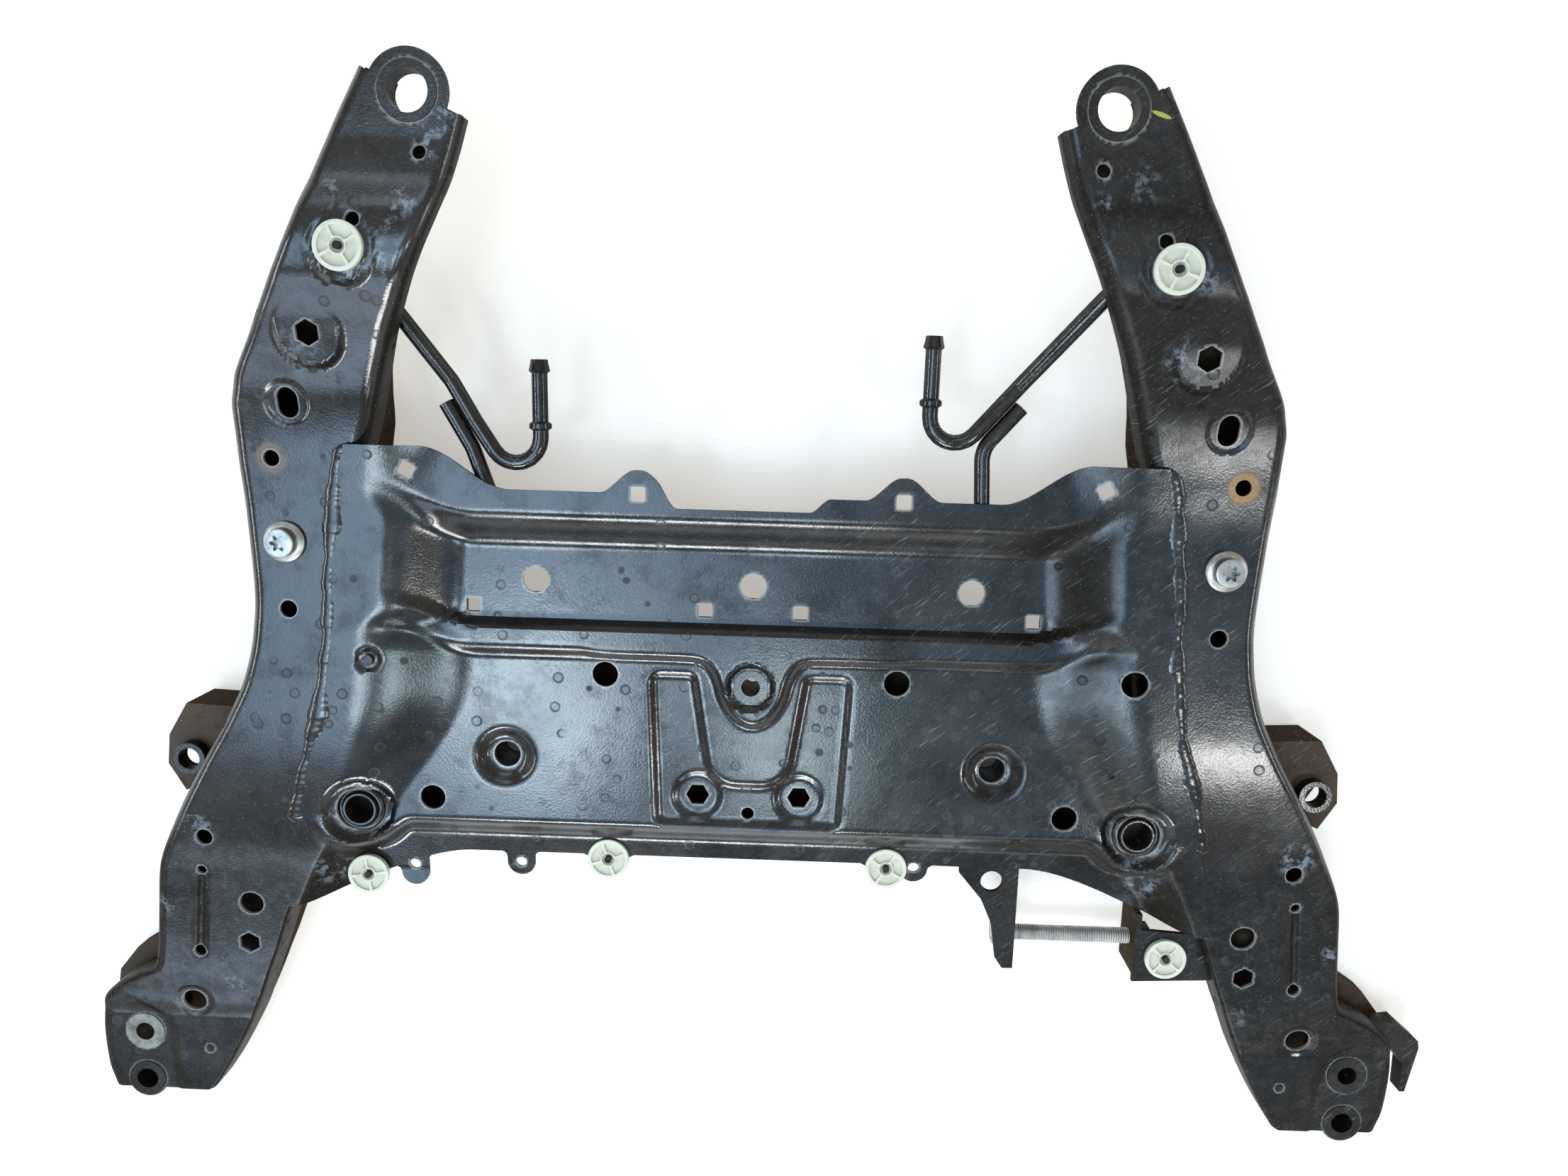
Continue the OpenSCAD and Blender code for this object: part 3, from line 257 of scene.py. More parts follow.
def apply_modifier(piece, kind, **settings):
    """Adds a modifier with its settings and applies it."""
    alone(piece)
    bpy.ops.object.modifier_add(type=kind)
    modifier = piece.modifiers[-1]
    for key, value in settings.items():
        setattr(modifier, key, value)
    bpy.ops.object.modifier_apply(modifier=modifier.name)


def pick(piece, test):
    """Selects the faces in edit mode whose middle, in mm, and normal pass a test."""
    mesh = bmesh.from_edit_mesh(piece.data)
    bpy.ops.mesh.select_all(action="DESELECT")
    for face in mesh.faces:
        face.select_set(bool(test(face.calc_center_median() / MM, face.normal)))
    bmesh.update_edit_mesh(piece.data)


def disc(r, height):
    """Starts an upright cylinder in edit mode, with its top selected and its sizes in mm."""
    bpy.ops.object.select_all(action="DESELECT")
    bpy.ops.mesh.primitive_cylinder_add(vertices=72, radius=r * MM, depth=height * MM, location=(0, 0, height / 2 * MM))
    piece = bpy.context.object
    bpy.ops.object.transform_apply(location=True)
    bpy.ops.object.mode_set(mode="EDIT")
    pick(piece, lambda p, n: n.z > 0.9)
    return piece


def inset(width):
    """Insets the picked faces by a width in mm."""
    bpy.ops.mesh.inset(thickness=width * MM)


def lift(height):
    """Moves the picked faces up by a height in mm."""
    bpy.ops.transform.translate(value=(0, 0, height * MM))


def extrude(height):
    """Draws the picked faces up by a height in mm."""
    bpy.ops.mesh.extrude_region_move(TRANSFORM_OT_translate={"value": (0, 0, height * MM)})


def net(name, points, weld=False):
    """Grid whose crossings are moved to rows of points in mm. A welded one closes where points meet."""
    rows, columns = points.shape[:2]
    bpy.ops.object.select_all(action="DESELECT")
    bpy.ops.mesh.primitive_grid_add(x_subdivisions=columns - 1, y_subdivisions=rows - 1, size=1)
    piece = bpy.context.object
    piece.name = piece.data.name = name
    piece.data.vertices.foreach_set("co", (points * MM).ravel())
    piece.data.update()
    if weld:
        bpy.ops.object.mode_set(mode="EDIT")
        bpy.ops.mesh.select_all(action="SELECT")
        bpy.ops.mesh.remove_doubles(threshold=1e-6)
        bpy.ops.mesh.normals_make_consistent(inside=False)
        bpy.ops.object.mode_set(mode="OBJECT")
    return piece


def prism(outline, low, high):
    """Upright solid over an outline in mm, extruded from a filled circle."""
    bpy.ops.object.select_all(action="DESELECT")
    bpy.ops.mesh.primitive_circle_add(vertices=len(outline), fill_type="NGON")
    piece = bpy.context.object
    points = np.column_stack([np.array(outline), np.full(len(outline), low)]) * MM
    piece.data.vertices.foreach_set("co", points.ravel())
    bpy.ops.object.mode_set(mode="EDIT")
    bpy.ops.mesh.select_all(action="SELECT")
    extrude(high - low)
    bpy.ops.mesh.select_all(action="SELECT")
    bpy.ops.mesh.normals_make_consistent(inside=False)
    bpy.ops.object.mode_set(mode="OBJECT")
    return piece


def joined(pieces, name):
    """Joins pieces to one."""
    bpy.ops.object.select_all(action="DESELECT")
    for piece in pieces:
        piece.select_set(True)
    bpy.context.view_layer.objects.active = pieces[0]
    bpy.ops.object.join()
    pieces[0].name = pieces[0].data.name = name
    return pieces[0]


def cut(piece, cutters, operation="DIFFERENCE"):
    """Cuts a piece with solids that are then deleted."""
    tool = joined(cutters, "cutter")
    apply_modifier(piece, "BOOLEAN", object=tool, operation=operation, solver="MANIFOLD")
    bpy.data.objects.remove(tool)


def smooth(piece, angle=32):
    """Shades a piece smooth apart from its sharp edges."""
    alone(piece)
    bpy.ops.object.shade_smooth_by_angle(angle=math.radians(angle))


def points_of(piece):
    """Places of a piece's points in mm."""
    place = np.empty(len(piece.data.vertices) * 3)
    piece.data.vertices.foreach_get("co", place)
    return place.reshape(-1, 3) / MM


def mark_bends(piece):
    """Stores how far each point stands out of its surroundings: above zero on edges, below in corners."""
    mesh = piece.data
    place = points_of(piece)
    normal = np.empty(len(place) * 3)
    ends = np.empty(len(mesh.edges) * 2, int)
    mesh.vertex_normals.foreach_get("vector", normal)
    mesh.edges.foreach_get("vertices", ends)
    normal, ends = normal.reshape(-1, 3), ends.reshape(-1, 2)
    along = place[ends[:, 1]] - place[ends[:, 0]]
    turn = ((normal[ends[:, 1]] - normal[ends[:, 0]]) * along).sum(1) / np.maximum((along ** 2).sum(1), 0.05)
    total = np.zeros(len(place))
    number = np.zeros(len(place))
    for k in (0, 1):
        np.add.at(total, ends[:, k], turn)
        np.add.at(number, ends[:, k], 1)
    store(piece, "bend", total / np.maximum(number, 1))


def mark_wear(piece, outlines):
    """Stores the pale hole rims, partly wear and partly a painted highlight, the scuffed places, and where the coating
    is grimy or dull.
    """
    x, y, _ = points_of(piece).T
    rim = np.zeros(len(x))
    for outline in outlines:
        low, high = outline.min(0) - 3, outline.max(0) + 3
        near = (x > low[0]) & (x < high[0]) & (y > low[1]) & (y < high[1])
        rim[near] = np.maximum(rim[near], 1 - ramp(0, 1, np.abs(outline_distance(x[near], y[near], outline))))
    scuff = np.zeros(len(x))
    for centre, r, strength in SCUFFS:
        scuff = np.maximum(scuff, strength * (1 - ramp(0.3, 1, np.hypot(x - centre[0], y - centre[1]) / r)))
    bend = piece.data.attributes["bend"]
    values = np.empty(len(x), np.float32)
    bend.data.foreach_get("value", values)
    bend.data.foreach_set("value", np.where(rim > 0.5, 0, values).astype(np.float32))
    # Pale hole rims, over the holes' walls too: partly wear, partly a painted highlight
    store(piece, "rim", rim)
    store(piece, "scuff", scuff)
    # Dull places: the legs and front corners, the right arm, and a band on the right from 150 to 294 mm out. Their
    # folds lose shine and take the painted brown shade of the walls
    front = ramp(258, 300, np.abs(x)) * (1 - ramp(150, 205, y))
    arm = 0.7 * ramp(425, 455, y) * ramp(170, 200, x)
    right_end = 0.8 * ramp(150, 195, x) * (1 - ramp(284, 294, x))
    store(piece, "dull", np.maximum.reduce([front, arm, right_end]))
    legs = ramp(285, 330, np.abs(x)) * (1 - ramp(120, 230, y)) * mix(0.3, 1, ramp(5, 45, y))
    store(piece, "grime", legs + 0.7 * ramp(470, 600, y))


def store(piece, name, values):
    """Keeps one number a point on a piece."""
    attribute = piece.data.attributes.get(name) or piece.data.attributes.new(name, "FLOAT", "POINT")
    attribute.data.foreach_set("value", np.asarray(values, np.float32))


def copied(one, moves, name):
    """Copies a piece by each move, with a mesh of its own each time, deletes it and joins the copies."""
    copies = []
    for move in moves:
        copy = one.copy()
        copy.data = one.data.copy()
        bpy.context.collection.objects.link(copy)
        copy.data.transform(move)
        copies.append(copy)
    bpy.data.objects.remove(one)
    return joined(copies, name)


def finish(piece, material, slot, *nodes):
    """Gives a piece its material and ties it to the frame."""
    piece.data.materials.clear()
    piece.data.materials.append(material)
    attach(piece, "root")
    for name in nodes:
        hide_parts(name)


def corner_arc(a, b, c, r, steps=8):
    """Arc that rounds the corner b between a and c."""
    a, b, c = (np.array(p, float) for p in (a, b, c))
    d, e = (b - a) / np.linalg.norm(b - a), (c - b) / np.linalg.norm(c - b)
    angle = math.atan2(d[0] * e[1] - d[1] * e[0], d @ e)
    start = b - d * r * math.tan(abs(angle) / 2)
    middle = start + np.array([-d[1], d[0]]) * r * math.copysign(1, angle)
    t = np.linspace(0, angle, steps + 1)
    x, y = start - middle
    return np.column_stack([middle[0] + x * np.cos(t) - y * np.sin(t), middle[1] + x * np.sin(t) + y * np.cos(t)])


def round_loop(rows):
    """Closed outline with each corner rounded to its radius."""
    n = len(rows)
    return np.vstack([corner_arc(rows[i - 1][0], rows[i][0], rows[(i + 1) % n][0], rows[i][1]) for i in range(n)])


def bent_line(corners, bends, rise=0, step=1.5):
    """Line of a bent bar with even steps. Its first length falls from the rise to zero."""
    arcs = [corner_arc(*corners[i - 1:i + 2], bends[i - 1]) for i in range(1, len(corners) - 1)]
    line = np.vstack([corners[:1], *arcs, corners[-1:]])
    length = np.concatenate([[0], np.cumsum(np.linalg.norm(np.diff(line, axis=0), axis=1))])
    at = np.linspace(0, length[-1], int(length[-1] / step) + 1)
    height = rise * np.clip(1 - at / length[1], 0, 1)
    return np.column_stack([np.interp(at, length, line[:, 0]), np.interp(at, length, line[:, 1]), height]), at


def ring_rows(line, radii, sides=24):
    """Rings round a line of points, square to it."""
    ahead = np.gradient(line, axis=0)
    ahead /= np.linalg.norm(ahead, axis=1, keepdims=True)
    across = np.column_stack([ahead[:, 1], -ahead[:, 0], np.zeros(len(line))])
    across /= np.linalg.norm(across, axis=1, keepdims=True)
    up = np.cross(across, ahead)
    a = np.linspace(0, 2 * np.pi, sides + 1)[None, :, None]
    return line[:, None] + radii[:, None, None] * (across[:, None] * np.cos(a) + up[:, None] * np.sin(a))


def lathe(name, place, profile, sides=64):
    """Turned solid round an upright axis through a closed profile of radius and height."""
    loop = np.vstack([profile, profile[:1]]).astype(float)
    a = np.linspace(0, 2 * np.pi, sides + 1)
    x = place[0] + loop[:, :1] * np.cos(a)
    y = place[1] + loop[:, :1] * np.sin(a)
    return net(name, np.stack([x, y, np.repeat(loop[:, 1:], len(a), 1)], -1), weld=True)


# Materials

def add(tree, kind, settings=None, out=0):
    """Adds a node with its properties, sockets, links and ramp stops, and gives one of its outputs."""
    made = tree.nodes.new("ShaderNode" + kind)
    for key, value in (settings or {}).items():
        if key == "stops":
            ends = made.color_ramp.elements
            while len(ends) < len(value):
                ends.new(0.5)
            for end, (at, level) in zip(ends, value):
                end.position = at
                end.color = (level, level, level, 1)
        elif isinstance(value, bpy.types.NodeSocket):
            tree.links.new(value, made.inputs[key])
        elif isinstance(key, int) or key in made.inputs:
            made.inputs[key].default_value = value
        else:
            setattr(made, key, value)
    return made.outputs[out] if made.outputs else made


def blank(name):
    """Starts a material with a shader and Object coordinates."""
    material = bpy.data.materials.new(name)
    material.use_nodes = True
    tree = material.node_tree
    tree.nodes.clear()
    shader = add(tree, "BsdfPrincipled")
    add(tree, "OutputMaterial", {"Surface": shader})
    return material, tree, shader.node, add(tree, "TexCoord", out="Object")


def link_shader(tree, shader, **sources):
    """Links values to a shader's sockets, with their names' spaces as underscores."""
    for key, source in sources.items():
        tree.links.new(source, shader.inputs[key.replace("_", " ")])


def colour4(value):
    """Colour with full cover."""
    return (*value, 1)


def coated_steel(name, tints, dust_share, gloss, shine, wall_shade_colour=linear("#1b1712")):
    """Black dip coating on pressed steel: glossy with a fine orange peel, dusty and water marked, scratched on the
    right, with pale scuffs, pale hole rims that are partly wear and partly a painted highlight, walls and folds browned
    by a painted shade, and tan rust and a dab of yellow paint in their places."""
    material, tree, shader, place = blank(name)
    base, dust, chip_and_rim_highlight, scuff, rust, paint = (colour4(c) for c in tints)
    at = {key: add(tree, "Attribute", {"attribute_name": key}, "Fac")
          for key in ("bend", "rim", "scuff", "grime", "stain", "dull")}
    at["up"] = add(tree, "SeparateXYZ", {0: add(tree, "NewGeometry", out="Normal")}, "Z")
    at["across"] = add(tree, "SeparateXYZ", {0: place}, "X")
    # Dried drops leave rings of up to 7 mm
    at["drop"] = add(tree, "TexVoronoi", {"Scale": 1 / 0.018, "Randomness": 1.0, "Vector": place}, "Distance")
    # The dab of paint is 13 mm long and 3 mm wide
    dab = add(tree, "Mapping", {"vector_type": "TEXTURE", "Location": (0.2369, 0.6626, 0.118), "Vector": place,
                                "Rotation": (0, 0, math.radians(-18)), "Scale": (0.0068, 0.0015, 0.02)})
    at["dab"] = add(tree, "VectorMath", {"operation": "LENGTH", 0: dab}, "Value")
    # Scratches run at 40 degrees, 0.5 mm wide and 15 mm long
    turned = add(tree, "Mapping", {"Rotation": (0, 0, math.radians(-40)), "Vector": place})
    drawn = add(tree, "Mapping", {"Scale": (65, 1200, 65), "Vector": turned})
    # Patterns by the size of their features in metres, detail, roughness and coordinates: clouds of dust are 20 to
    # 80 mm across, blotches of grime 2 to 7 mm, specks about 1 mm and single grains 0.6 mm. Dirt dries in patches
    # of 5 to 30 mm, the sheet wavers over 70 mm and the coating has an orange peel of about 1.5 mm
    for key, size, detail, roughness, vector in (
            ("cloud", 0.055, 5, 0.6, place), ("blotch", 0.007, 9, 0.75, place), ("speck", 0.0024, 3, 0.7, place),
            ("grain", 0.0013, 1, 0.5, place), ("scratch", 1, 2, 0.5, drawn), ("rub", 0.005, 9, 0.8, place),
            ("patch", 0.026, 9, 0.72, place), ("cake", 0.012, 9, 0.75, place), ("waver", 0.07, 1, 0.6, place),
            ("peel", 0.0016, 2, 0.6, place)):
        at[key] = add(tree, "TexNoise", {"Scale": 1 / size, "Detail": detail, "Roughness": roughness,
                                         "Vector": vector}, "Fac")
    # Ranges by source, how they run, where they start and stop, and what they give there. Upright walls are duller than
    # faces that look up, and so are the folds of the legs and of the plate's front corners. Both also take a painted
    # shade: a dark brown that stands in for the shade on them and the brown hall they mirror
    for key, source, kind, first, last, low, high in (
            ("upright", "up", "SMOOTHSTEP", 0.8, 0.35, 0, 1), ("fold", "up", "LINEAR", 0.99, 0.92, 0, 1),
            ("right", "across", "LINEAR", -0.1, 0.12, 0.1, 1), ("edge", "bend", "LINEAR", 0.3, 0.7, 0, 0.3),
            ("rough", "cloud", "LINEAR", 0.3, 0.75, *gloss)):
        at[key] = add(tree, "MapRange", {"interpolation_type": kind, "From Min": first, "From Max": last,
                                         "To Min": low, "To Max": high, "Value": at[source]})
    # Levels by source, and the grey they give at places from 0 to 1
    for key, source, *stops in (
            ("grime_blotch", "blotch", (0.46, 0), (0.7, 0.5)), ("mottle_blotch", "blotch", (0.44, 0), (0.6, 0.27)),
            ("mottle_cloud", "cloud", (0.4, 0), (0.6, 1)), ("dust_cloud", "cloud", (0.42, 0), (0.72, 1)),
            ("dust_speck", "speck", (0.35, 0.4), (0.7, 1)), ("grains", "grain", (0.7, 0), (0.76, 0.3)),
            ("scratches", "scratch", (0.64, 0), (0.72, 0.5)), ("scratch_cloud", "cloud", (0.36, 0.2), (0.58, 1)),
            ("scratch_grime", "grime", (0, 1), (0.5, 0.25)), ("drop_cloud", "cloud", (0.4, 0), (0.55, 1)),
            ("rings", "drop", (0.14, 0.2), (0.17, 1), (0.2, 1), (0.24, 0)),
            ("edge_speck", "speck", (0.4, 0.1), (0.62, 1)), ("rub_cloud", "cloud", (0.35, 0.15), (0.65, 1)),
            ("rubs", "rub", (0.55, 0), (0.75, 0.45)), ("scuff_blotch", "blotch", (0.5, 0), (0.58, 0.8)),
            ("rust_speck", "speck", (0.3, 0.6), (0.6, 1)), ("painted", "dab", (0.8, 0.9), (1.0, 0)),
            ("patches", "patch", (0.36, 0.62), (0.5, 0.95), (0.64, 1)), ("cakes", "cake", (0.42, 0), (0.6, 1))):
        at[key] = add(tree, "ValToRGB", {"stops": stops, "Fac": at[source]})
    # Shares of each layer, as products and maxima of the rows above them
    for key, operation, first, second in (
            ("wall", "MULTIPLY", "dull", "fold"), ("wall", "MAXIMUM", "upright", "wall"),
            ("grimy", "MULTIPLY", "grime", "grime_blotch"),
            ("mottled", "MULTIPLY", "mottle_blotch", "mottle_cloud"), ("mottled", "MULTIPLY", "mottled", "right"),
            ("dirty", "MAXIMUM", "grimy", "mottled"), ("dusty", "MULTIPLY", "dust_cloud", dust_share),
            ("dusty", "MAXIMUM", "dusty", "dirty"), ("dusty", "MULTIPLY", "dusty", "dust_speck"),
            ("scratched", "MULTIPLY", "scratches", "right"), ("scratched", "MULTIPLY", "scratched", "scratch_cloud"),
            ("scratched", "MULTIPLY", "scratched", "scratch_grime"), ("scratched", "MAXIMUM", "scratched", "grains"),
            ("drops", "MULTIPLY", "rings", "drop_cloud"),
            ("worn_edge", "MULTIPLY", "edge", "edge_speck"), ("worn", "MULTIPLY", "rim", 0.75),
            ("worn", "MAXIMUM", "worn", "worn_edge"),
            ("rubbed", "MULTIPLY", "grime", "rub_cloud"), ("rubbed", "MULTIPLY", "rubbed", "rubs"),
            ("scuffed", "MULTIPLY", "scuff", "scuff_blotch"), ("scuffed", "MAXIMUM", "scuffed", "rubbed"),
            ("rusty", "MULTIPLY", "stain", "rust_speck"), ("caked", "MULTIPLY", "dull", "cakes")):
        at[key] = add(tree, "Math", {"operation": operation, 0: at[first], 1: at.get(second, second)})
    # Layers of colour, from the coating up. The wall layer is a painted shade, and the pale layer on hole rims is
    # partly a painted highlight
    colour = add(tree, "Mix", {"data_type": "RGBA", 6: base, 7: dust, 0: at["dusty"]}, 2)
    for layer, share in ((colour4(wall_shade_colour), "wall"), (chip_and_rim_highlight, "scratched"), (chip_and_rim_highlight, "worn"), (scuff, "scuffed"),
                         (rust, "rusty"), (paint, "painted")):
        colour = add(tree, "Mix", {"data_type": "RGBA", 6: colour, 7: layer, 0: at[share]}, 2)
    rough = at["rough"]
    for layer, share in (("dusty", 0.18), ("stain", 0.4), ("drops", 0.3), ("wall", 0.3)):
        rough = add(tree, "Math", {"operation": "MULTIPLY_ADD", 0: at[layer], 1: share, 2: rough})
    # Dried dirt takes the shine off, most of all on the legs, and so do the rings of drops
    shiny = add(tree, "MapRange", {"To Min": shine, "To Max": 0.12 * shine, "Value": at["wall"]})
    dried = add(tree, "Mix", {"data_type": "RGBA", 6: at["patches"], 7: (0.55, 0.55, 0.55, 1), 0: at["caked"]}, 2)
    ringed = add(tree, "ValToRGB", {"stops": [(0, 1), (1, 0.68)], "Fac": at["drops"]})
    dried = add(tree, "Math", {"operation": "MULTIPLY", 0: dried, 1: ringed})
    level = add(tree, "Math", {"operation": "MULTIPLY", 0: shiny, 1: dried})
    low = add(tree, "Bump", {"Strength": 0.35, "Distance": 0.0006, "Height": at["waver"]})
    fine = add(tree, "Bump", {"Strength": 0.4, "Distance": 0.0002, "Height": at["peel"], "Normal": low})
    link_shader(tree, shader, Base_Color=colour, Roughness=rough, Specular_IOR_Level=level, Normal=fine)
    return material


def plain_metal(name, colour, dark, rough, grain):
    """Plated or turned steel: bright, with dull cloudy patches and a fine grain."""
    material, tree, shader, place = blank(name)
    # Patches are about 9 mm across, and the grain is drawn as coarse as it needs to show
    cloud = add(tree, "TexNoise", {"Scale": 1 / 0.009, "Detail": 4, "Roughness": 0.6, "Vector": place}, "Fac")
    fine = add(tree, "TexNoise", {"Scale": 1 / grain, "Detail": 2, "Vector": place}, "Fac")
    patch = add(tree, "ValToRGB", {"stops": [(0.4, 0), (0.75, 1)], "Fac": cloud})
    tone = add(tree, "Mix", {"data_type": "RGBA", 6: colour4(colour), 7: colour4(dark), 0: patch}, 2)
    level = add(tree, "MapRange", {"To Min": rough[0], "To Max": rough[1], "Value": cloud})
    bump = add(tree, "Bump", {"Strength": 0.2, "Distance": 0.0001, "Height": fine})
    shader.inputs["Metallic"].default_value = 1
    link_shader(tree, shader, Base_Color=tone, Roughness=level, Normal=bump)
    return material


def moulded_nylon(name, colour, dirt_and_shade):
    """Moulded ivory nylon: soft and half glossy, with patches of grey dirt, and a painted shade of the same grey in the
    pockets between its spokes.
    """
    material, tree, shader, place = blank(name)
    # Dirt lies in patches of about 6 mm; the pockets between the spokes get a painted shade of the same grey
    cloud = add(tree, "TexNoise", {"Scale": 1 / 0.006, "Detail": 5, "Roughness": 0.65, "Vector": place}, "Fac")
    pocket = add(tree, "Attribute", {"attribute_name": "pocket"}, "Fac")
    patch = add(tree, "ValToRGB", {"stops": [(0.5, 0), (0.85, 0.5)], "Fac": cloud})
    share = add(tree, "Math", {"operation": "MULTIPLY_ADD", 0: pocket, 1: 0.28, 2: patch})
    tone = add(tree, "Mix", {"data_type": "RGBA", 6: colour4(colour), 7: colour4(dirt_and_shade), 0: share}, 2)
    bump = add(tree, "Bump", {"Strength": 0.15, "Distance": 0.0002, "Height": cloud})
    shader.inputs["Roughness"].default_value = 0.42
    link_shader(tree, shader, Base_Color=tone, Normal=bump)
    return material


def floor_paper(name, colour):
    """Matt white studio paper, lit a little from behind so that shadows on it stay faint."""
    material, tree, shader, place = blank(name)
    # The paper's grain is drawn at 4 mm, as coarse as it needs to show
    grain = add(tree, "TexNoise", {"Scale": 1 / 0.004, "Detail": 2, "Vector": place}, "Fac")
    shaded = [c * 0.98 for c in colour]
    tone = add(tree, "Mix", {"data_type": "RGBA", 6: colour4(colour), 7: colour4(shaded), 0: grain}, 2)
    # The light from behind leaves out a strip of 560 by 90 mm below the part, so that the dimple bores look dark
    strip = add(tree, "Mapping", {"vector_type": "TEXTURE", "Location": (0, -0.085, 0), "Scale": (0.28, 0.045, 1),
                                  "Vector": place})
    away = add(tree, "VectorMath", {"operation": "LENGTH", 0: strip}, "Value")
    lit = add(tree, "MapRange", {"From Min": 0.9, "From Max": 1.1, "To Max": 0.42, "Value": away})
    shader.inputs["Roughness"].default_value = 0.9
    shader.inputs["Emission Color"].default_value = colour4(colour)
    link_shader(tree, shader, Base_Color=tone, Emission_Strength=lit)
    return material


# Finishes by name, filled by make_coats
COATS = {}


def make_coats(tints):
    """Makes the finishes once, from the tints of the panel."""
    marks = (tints.dust, tints.chip_and_rim_highlight, tints.scuff, tints.rust, tints.paint)
    # The last colour of a coat is the painted brown shade of its walls and folds; the sheet and rod coats take the
    # default
    COATS["sheet"] = coated_steel("dip_coated_pressed_steel", (tints.sheet, *marks), 0.22, (0.13, 0.2), 1)
    COATS["bracket"] = coated_steel("dusty_coated_folded_steel", (tints.bracket, *marks), 0.5, (0.42, 0.6), 0.4,
                                    linear("#33271a"))
    COATS["clevis"] = coated_steel("black_coated_folded_steel", (tints.rod, *marks), 0.2, (0.35, 0.5), 0.35,
                                   linear("#3a2c1c"))
    COATS["rod"] = coated_steel("coated_bent_bar_steel", (tints.rod, *marks), 0.1, (0.06, 0.16), 1)
    COATS["zinc"] = plain_metal("zinc_plated_forged_steel", tints.zinc, linear("#8a8a84"), (0.25, 0.5), 0.0006)
    COATS["flake"] = plain_metal("matt_zinc_flake_steel", tints.zinc, linear("#9a9c9e"), (0.5, 0.7), 0.0008)
    COATS["sleeve"] = plain_metal("dull_plated_turned_steel", tints.sleeve, linear("#54504a"), (0.3, 0.55), 0.0008)
    COATS["bare"] = plain_metal("dark_turned_steel", linear("#5c5f62"), linear("#2e2c2a"), (0.35, 0.6), 0.0008)
    COATS["nylon"] = moulded_nylon("moulded_ivory_nylon", tints.nylon, linear("#a5a692"))


# Panel values

def size_property(name, description, mm):
    """Length in the panel, with its default in mm."""
    return FloatProperty(name=name, description=description, default=mm * MM, unit="LENGTH")


def colour_property(name, description, code):
    """Colour in the panel, with its default as an sRGB hex code."""
    return FloatVectorProperty(name=name, description=description, subtype="COLOR", size=3, default=linear(code))


class SubframeSizes(bpy.types.PropertyGroup):
    """Sizes of the dressed pieces."""
    sheet: size_property("Sheet", "Thickness of the pressed sheets", 2.5)
    mesh: size_property("Mesh", "Spacing of the points on the plate", 2.35)
    panel_drop: size_property("Panel drop", "Depth of the middle panel below the plateau", 3.2)
    dimple_depth: size_property("Dimple depth", "Depth of the conical dimples", 6.5)
    bead: size_property("Bead", "Radius of the weld beads", 3.6)
    washer: size_property("Washer", "Radius of the plastic washers", 15)


class SubframeColours(bpy.types.PropertyGroup):
    """Colours of the finishes."""
    sheet: colour_property("Sheet", "Coating of the pressed sheets", "#15181b")
    bracket: colour_property("Bracket", "Coating of the brackets", "#463420")
    rod: colour_property("Rod", "Coating of the hanger rods", "#121416")
    dust: colour_property("Dust", "Dust on the coatings", "#4a4a48")
    # The chip colour also paints the pale hole rims, which are partly a painted highlight
    chip_and_rim_highlight: colour_property("Chips", "Chips and scratches in the coatings", "#a9aaa8")
    scuff: colour_property("Scuffs", "Pale scuffs on arms and legs", "#8f9dab")
    paint: colour_property("Paint", "Dab of marking paint on the right arm", "#b9c25a")
    rust: colour_property("Rust", "Stains round two holes", "#a88558")
    zinc: colour_property("Zinc", "Plating of the bolts", "#c9cac6")
    sleeve: colour_property("Sleeve", "Plating of the mount sleeves", "#a5a39b")
    nylon: colour_property("Nylon", "Plastic of the washers", "#e6e8d6")
    floor: colour_property("Floor", "Studio paper", "#f8f5ef")


def sizes():
    """Sizes set in the panel."""
    return bpy.context.scene.subframe_sizes


def colours():
    """Colours set in the panel."""
    return bpy.context.scene.subframe_colours


# Hole outlines

def square(centre, width, turn=0, corner=1.6):
    """Square with rounded corners."""
    h = width / 2 - corner
    c, s = math.cos(math.radians(turn)), math.sin(math.radians(turn))
    points = np.vstack([arc((sx * h, sy * h), corner, a, a + 90, 5)
                        for sx, sy, a in ((1, 1, 0), (-1, 1, 90), (-1, -1, 180), (1, -1, 270))])
    return points @ np.array([[c, s], [-s, c]]) + centre


def hexagon(centre, turn=0):
    """Hexagon of 14.5 mm across its flats."""
    return arc(centre, 7.25 / math.cos(math.radians(30)), turn, turn + 300, 5)


def circle(centre, r, steps=56):
    """Circle without its last point doubled."""
    return arc(centre, r, 0, 360 - 360 / steps, steps - 1)


def long_hole(centre, width, length):
    """Hole with round ends, along the rails."""
    h = (length - width) / 2
    return np.vstack([arc((centre[0], centre[1] + h), width / 2, 0, 180, 20),
                      arc((centre[0], centre[1] - h), width / 2, 180, 360, 20)])


def flipped(points, side):
    """Points of the right side brought to a side, -1 or 1."""
    return np.array(points) * [side, 1]


def through(outlines):
    """Cutters through the part, one for each outline."""
    return [prism(o, CUT_LOW, CUT_HIGH) for o in outlines]


# Crossmember plate

def dish(x, y, centre, top_r, floor_r, depth):
    """Height of a round dish pressed below its surroundings."""
    return -depth * (1 - ramp(floor_r, top_r, np.hypot(x - centre[0], y - centre[1])))


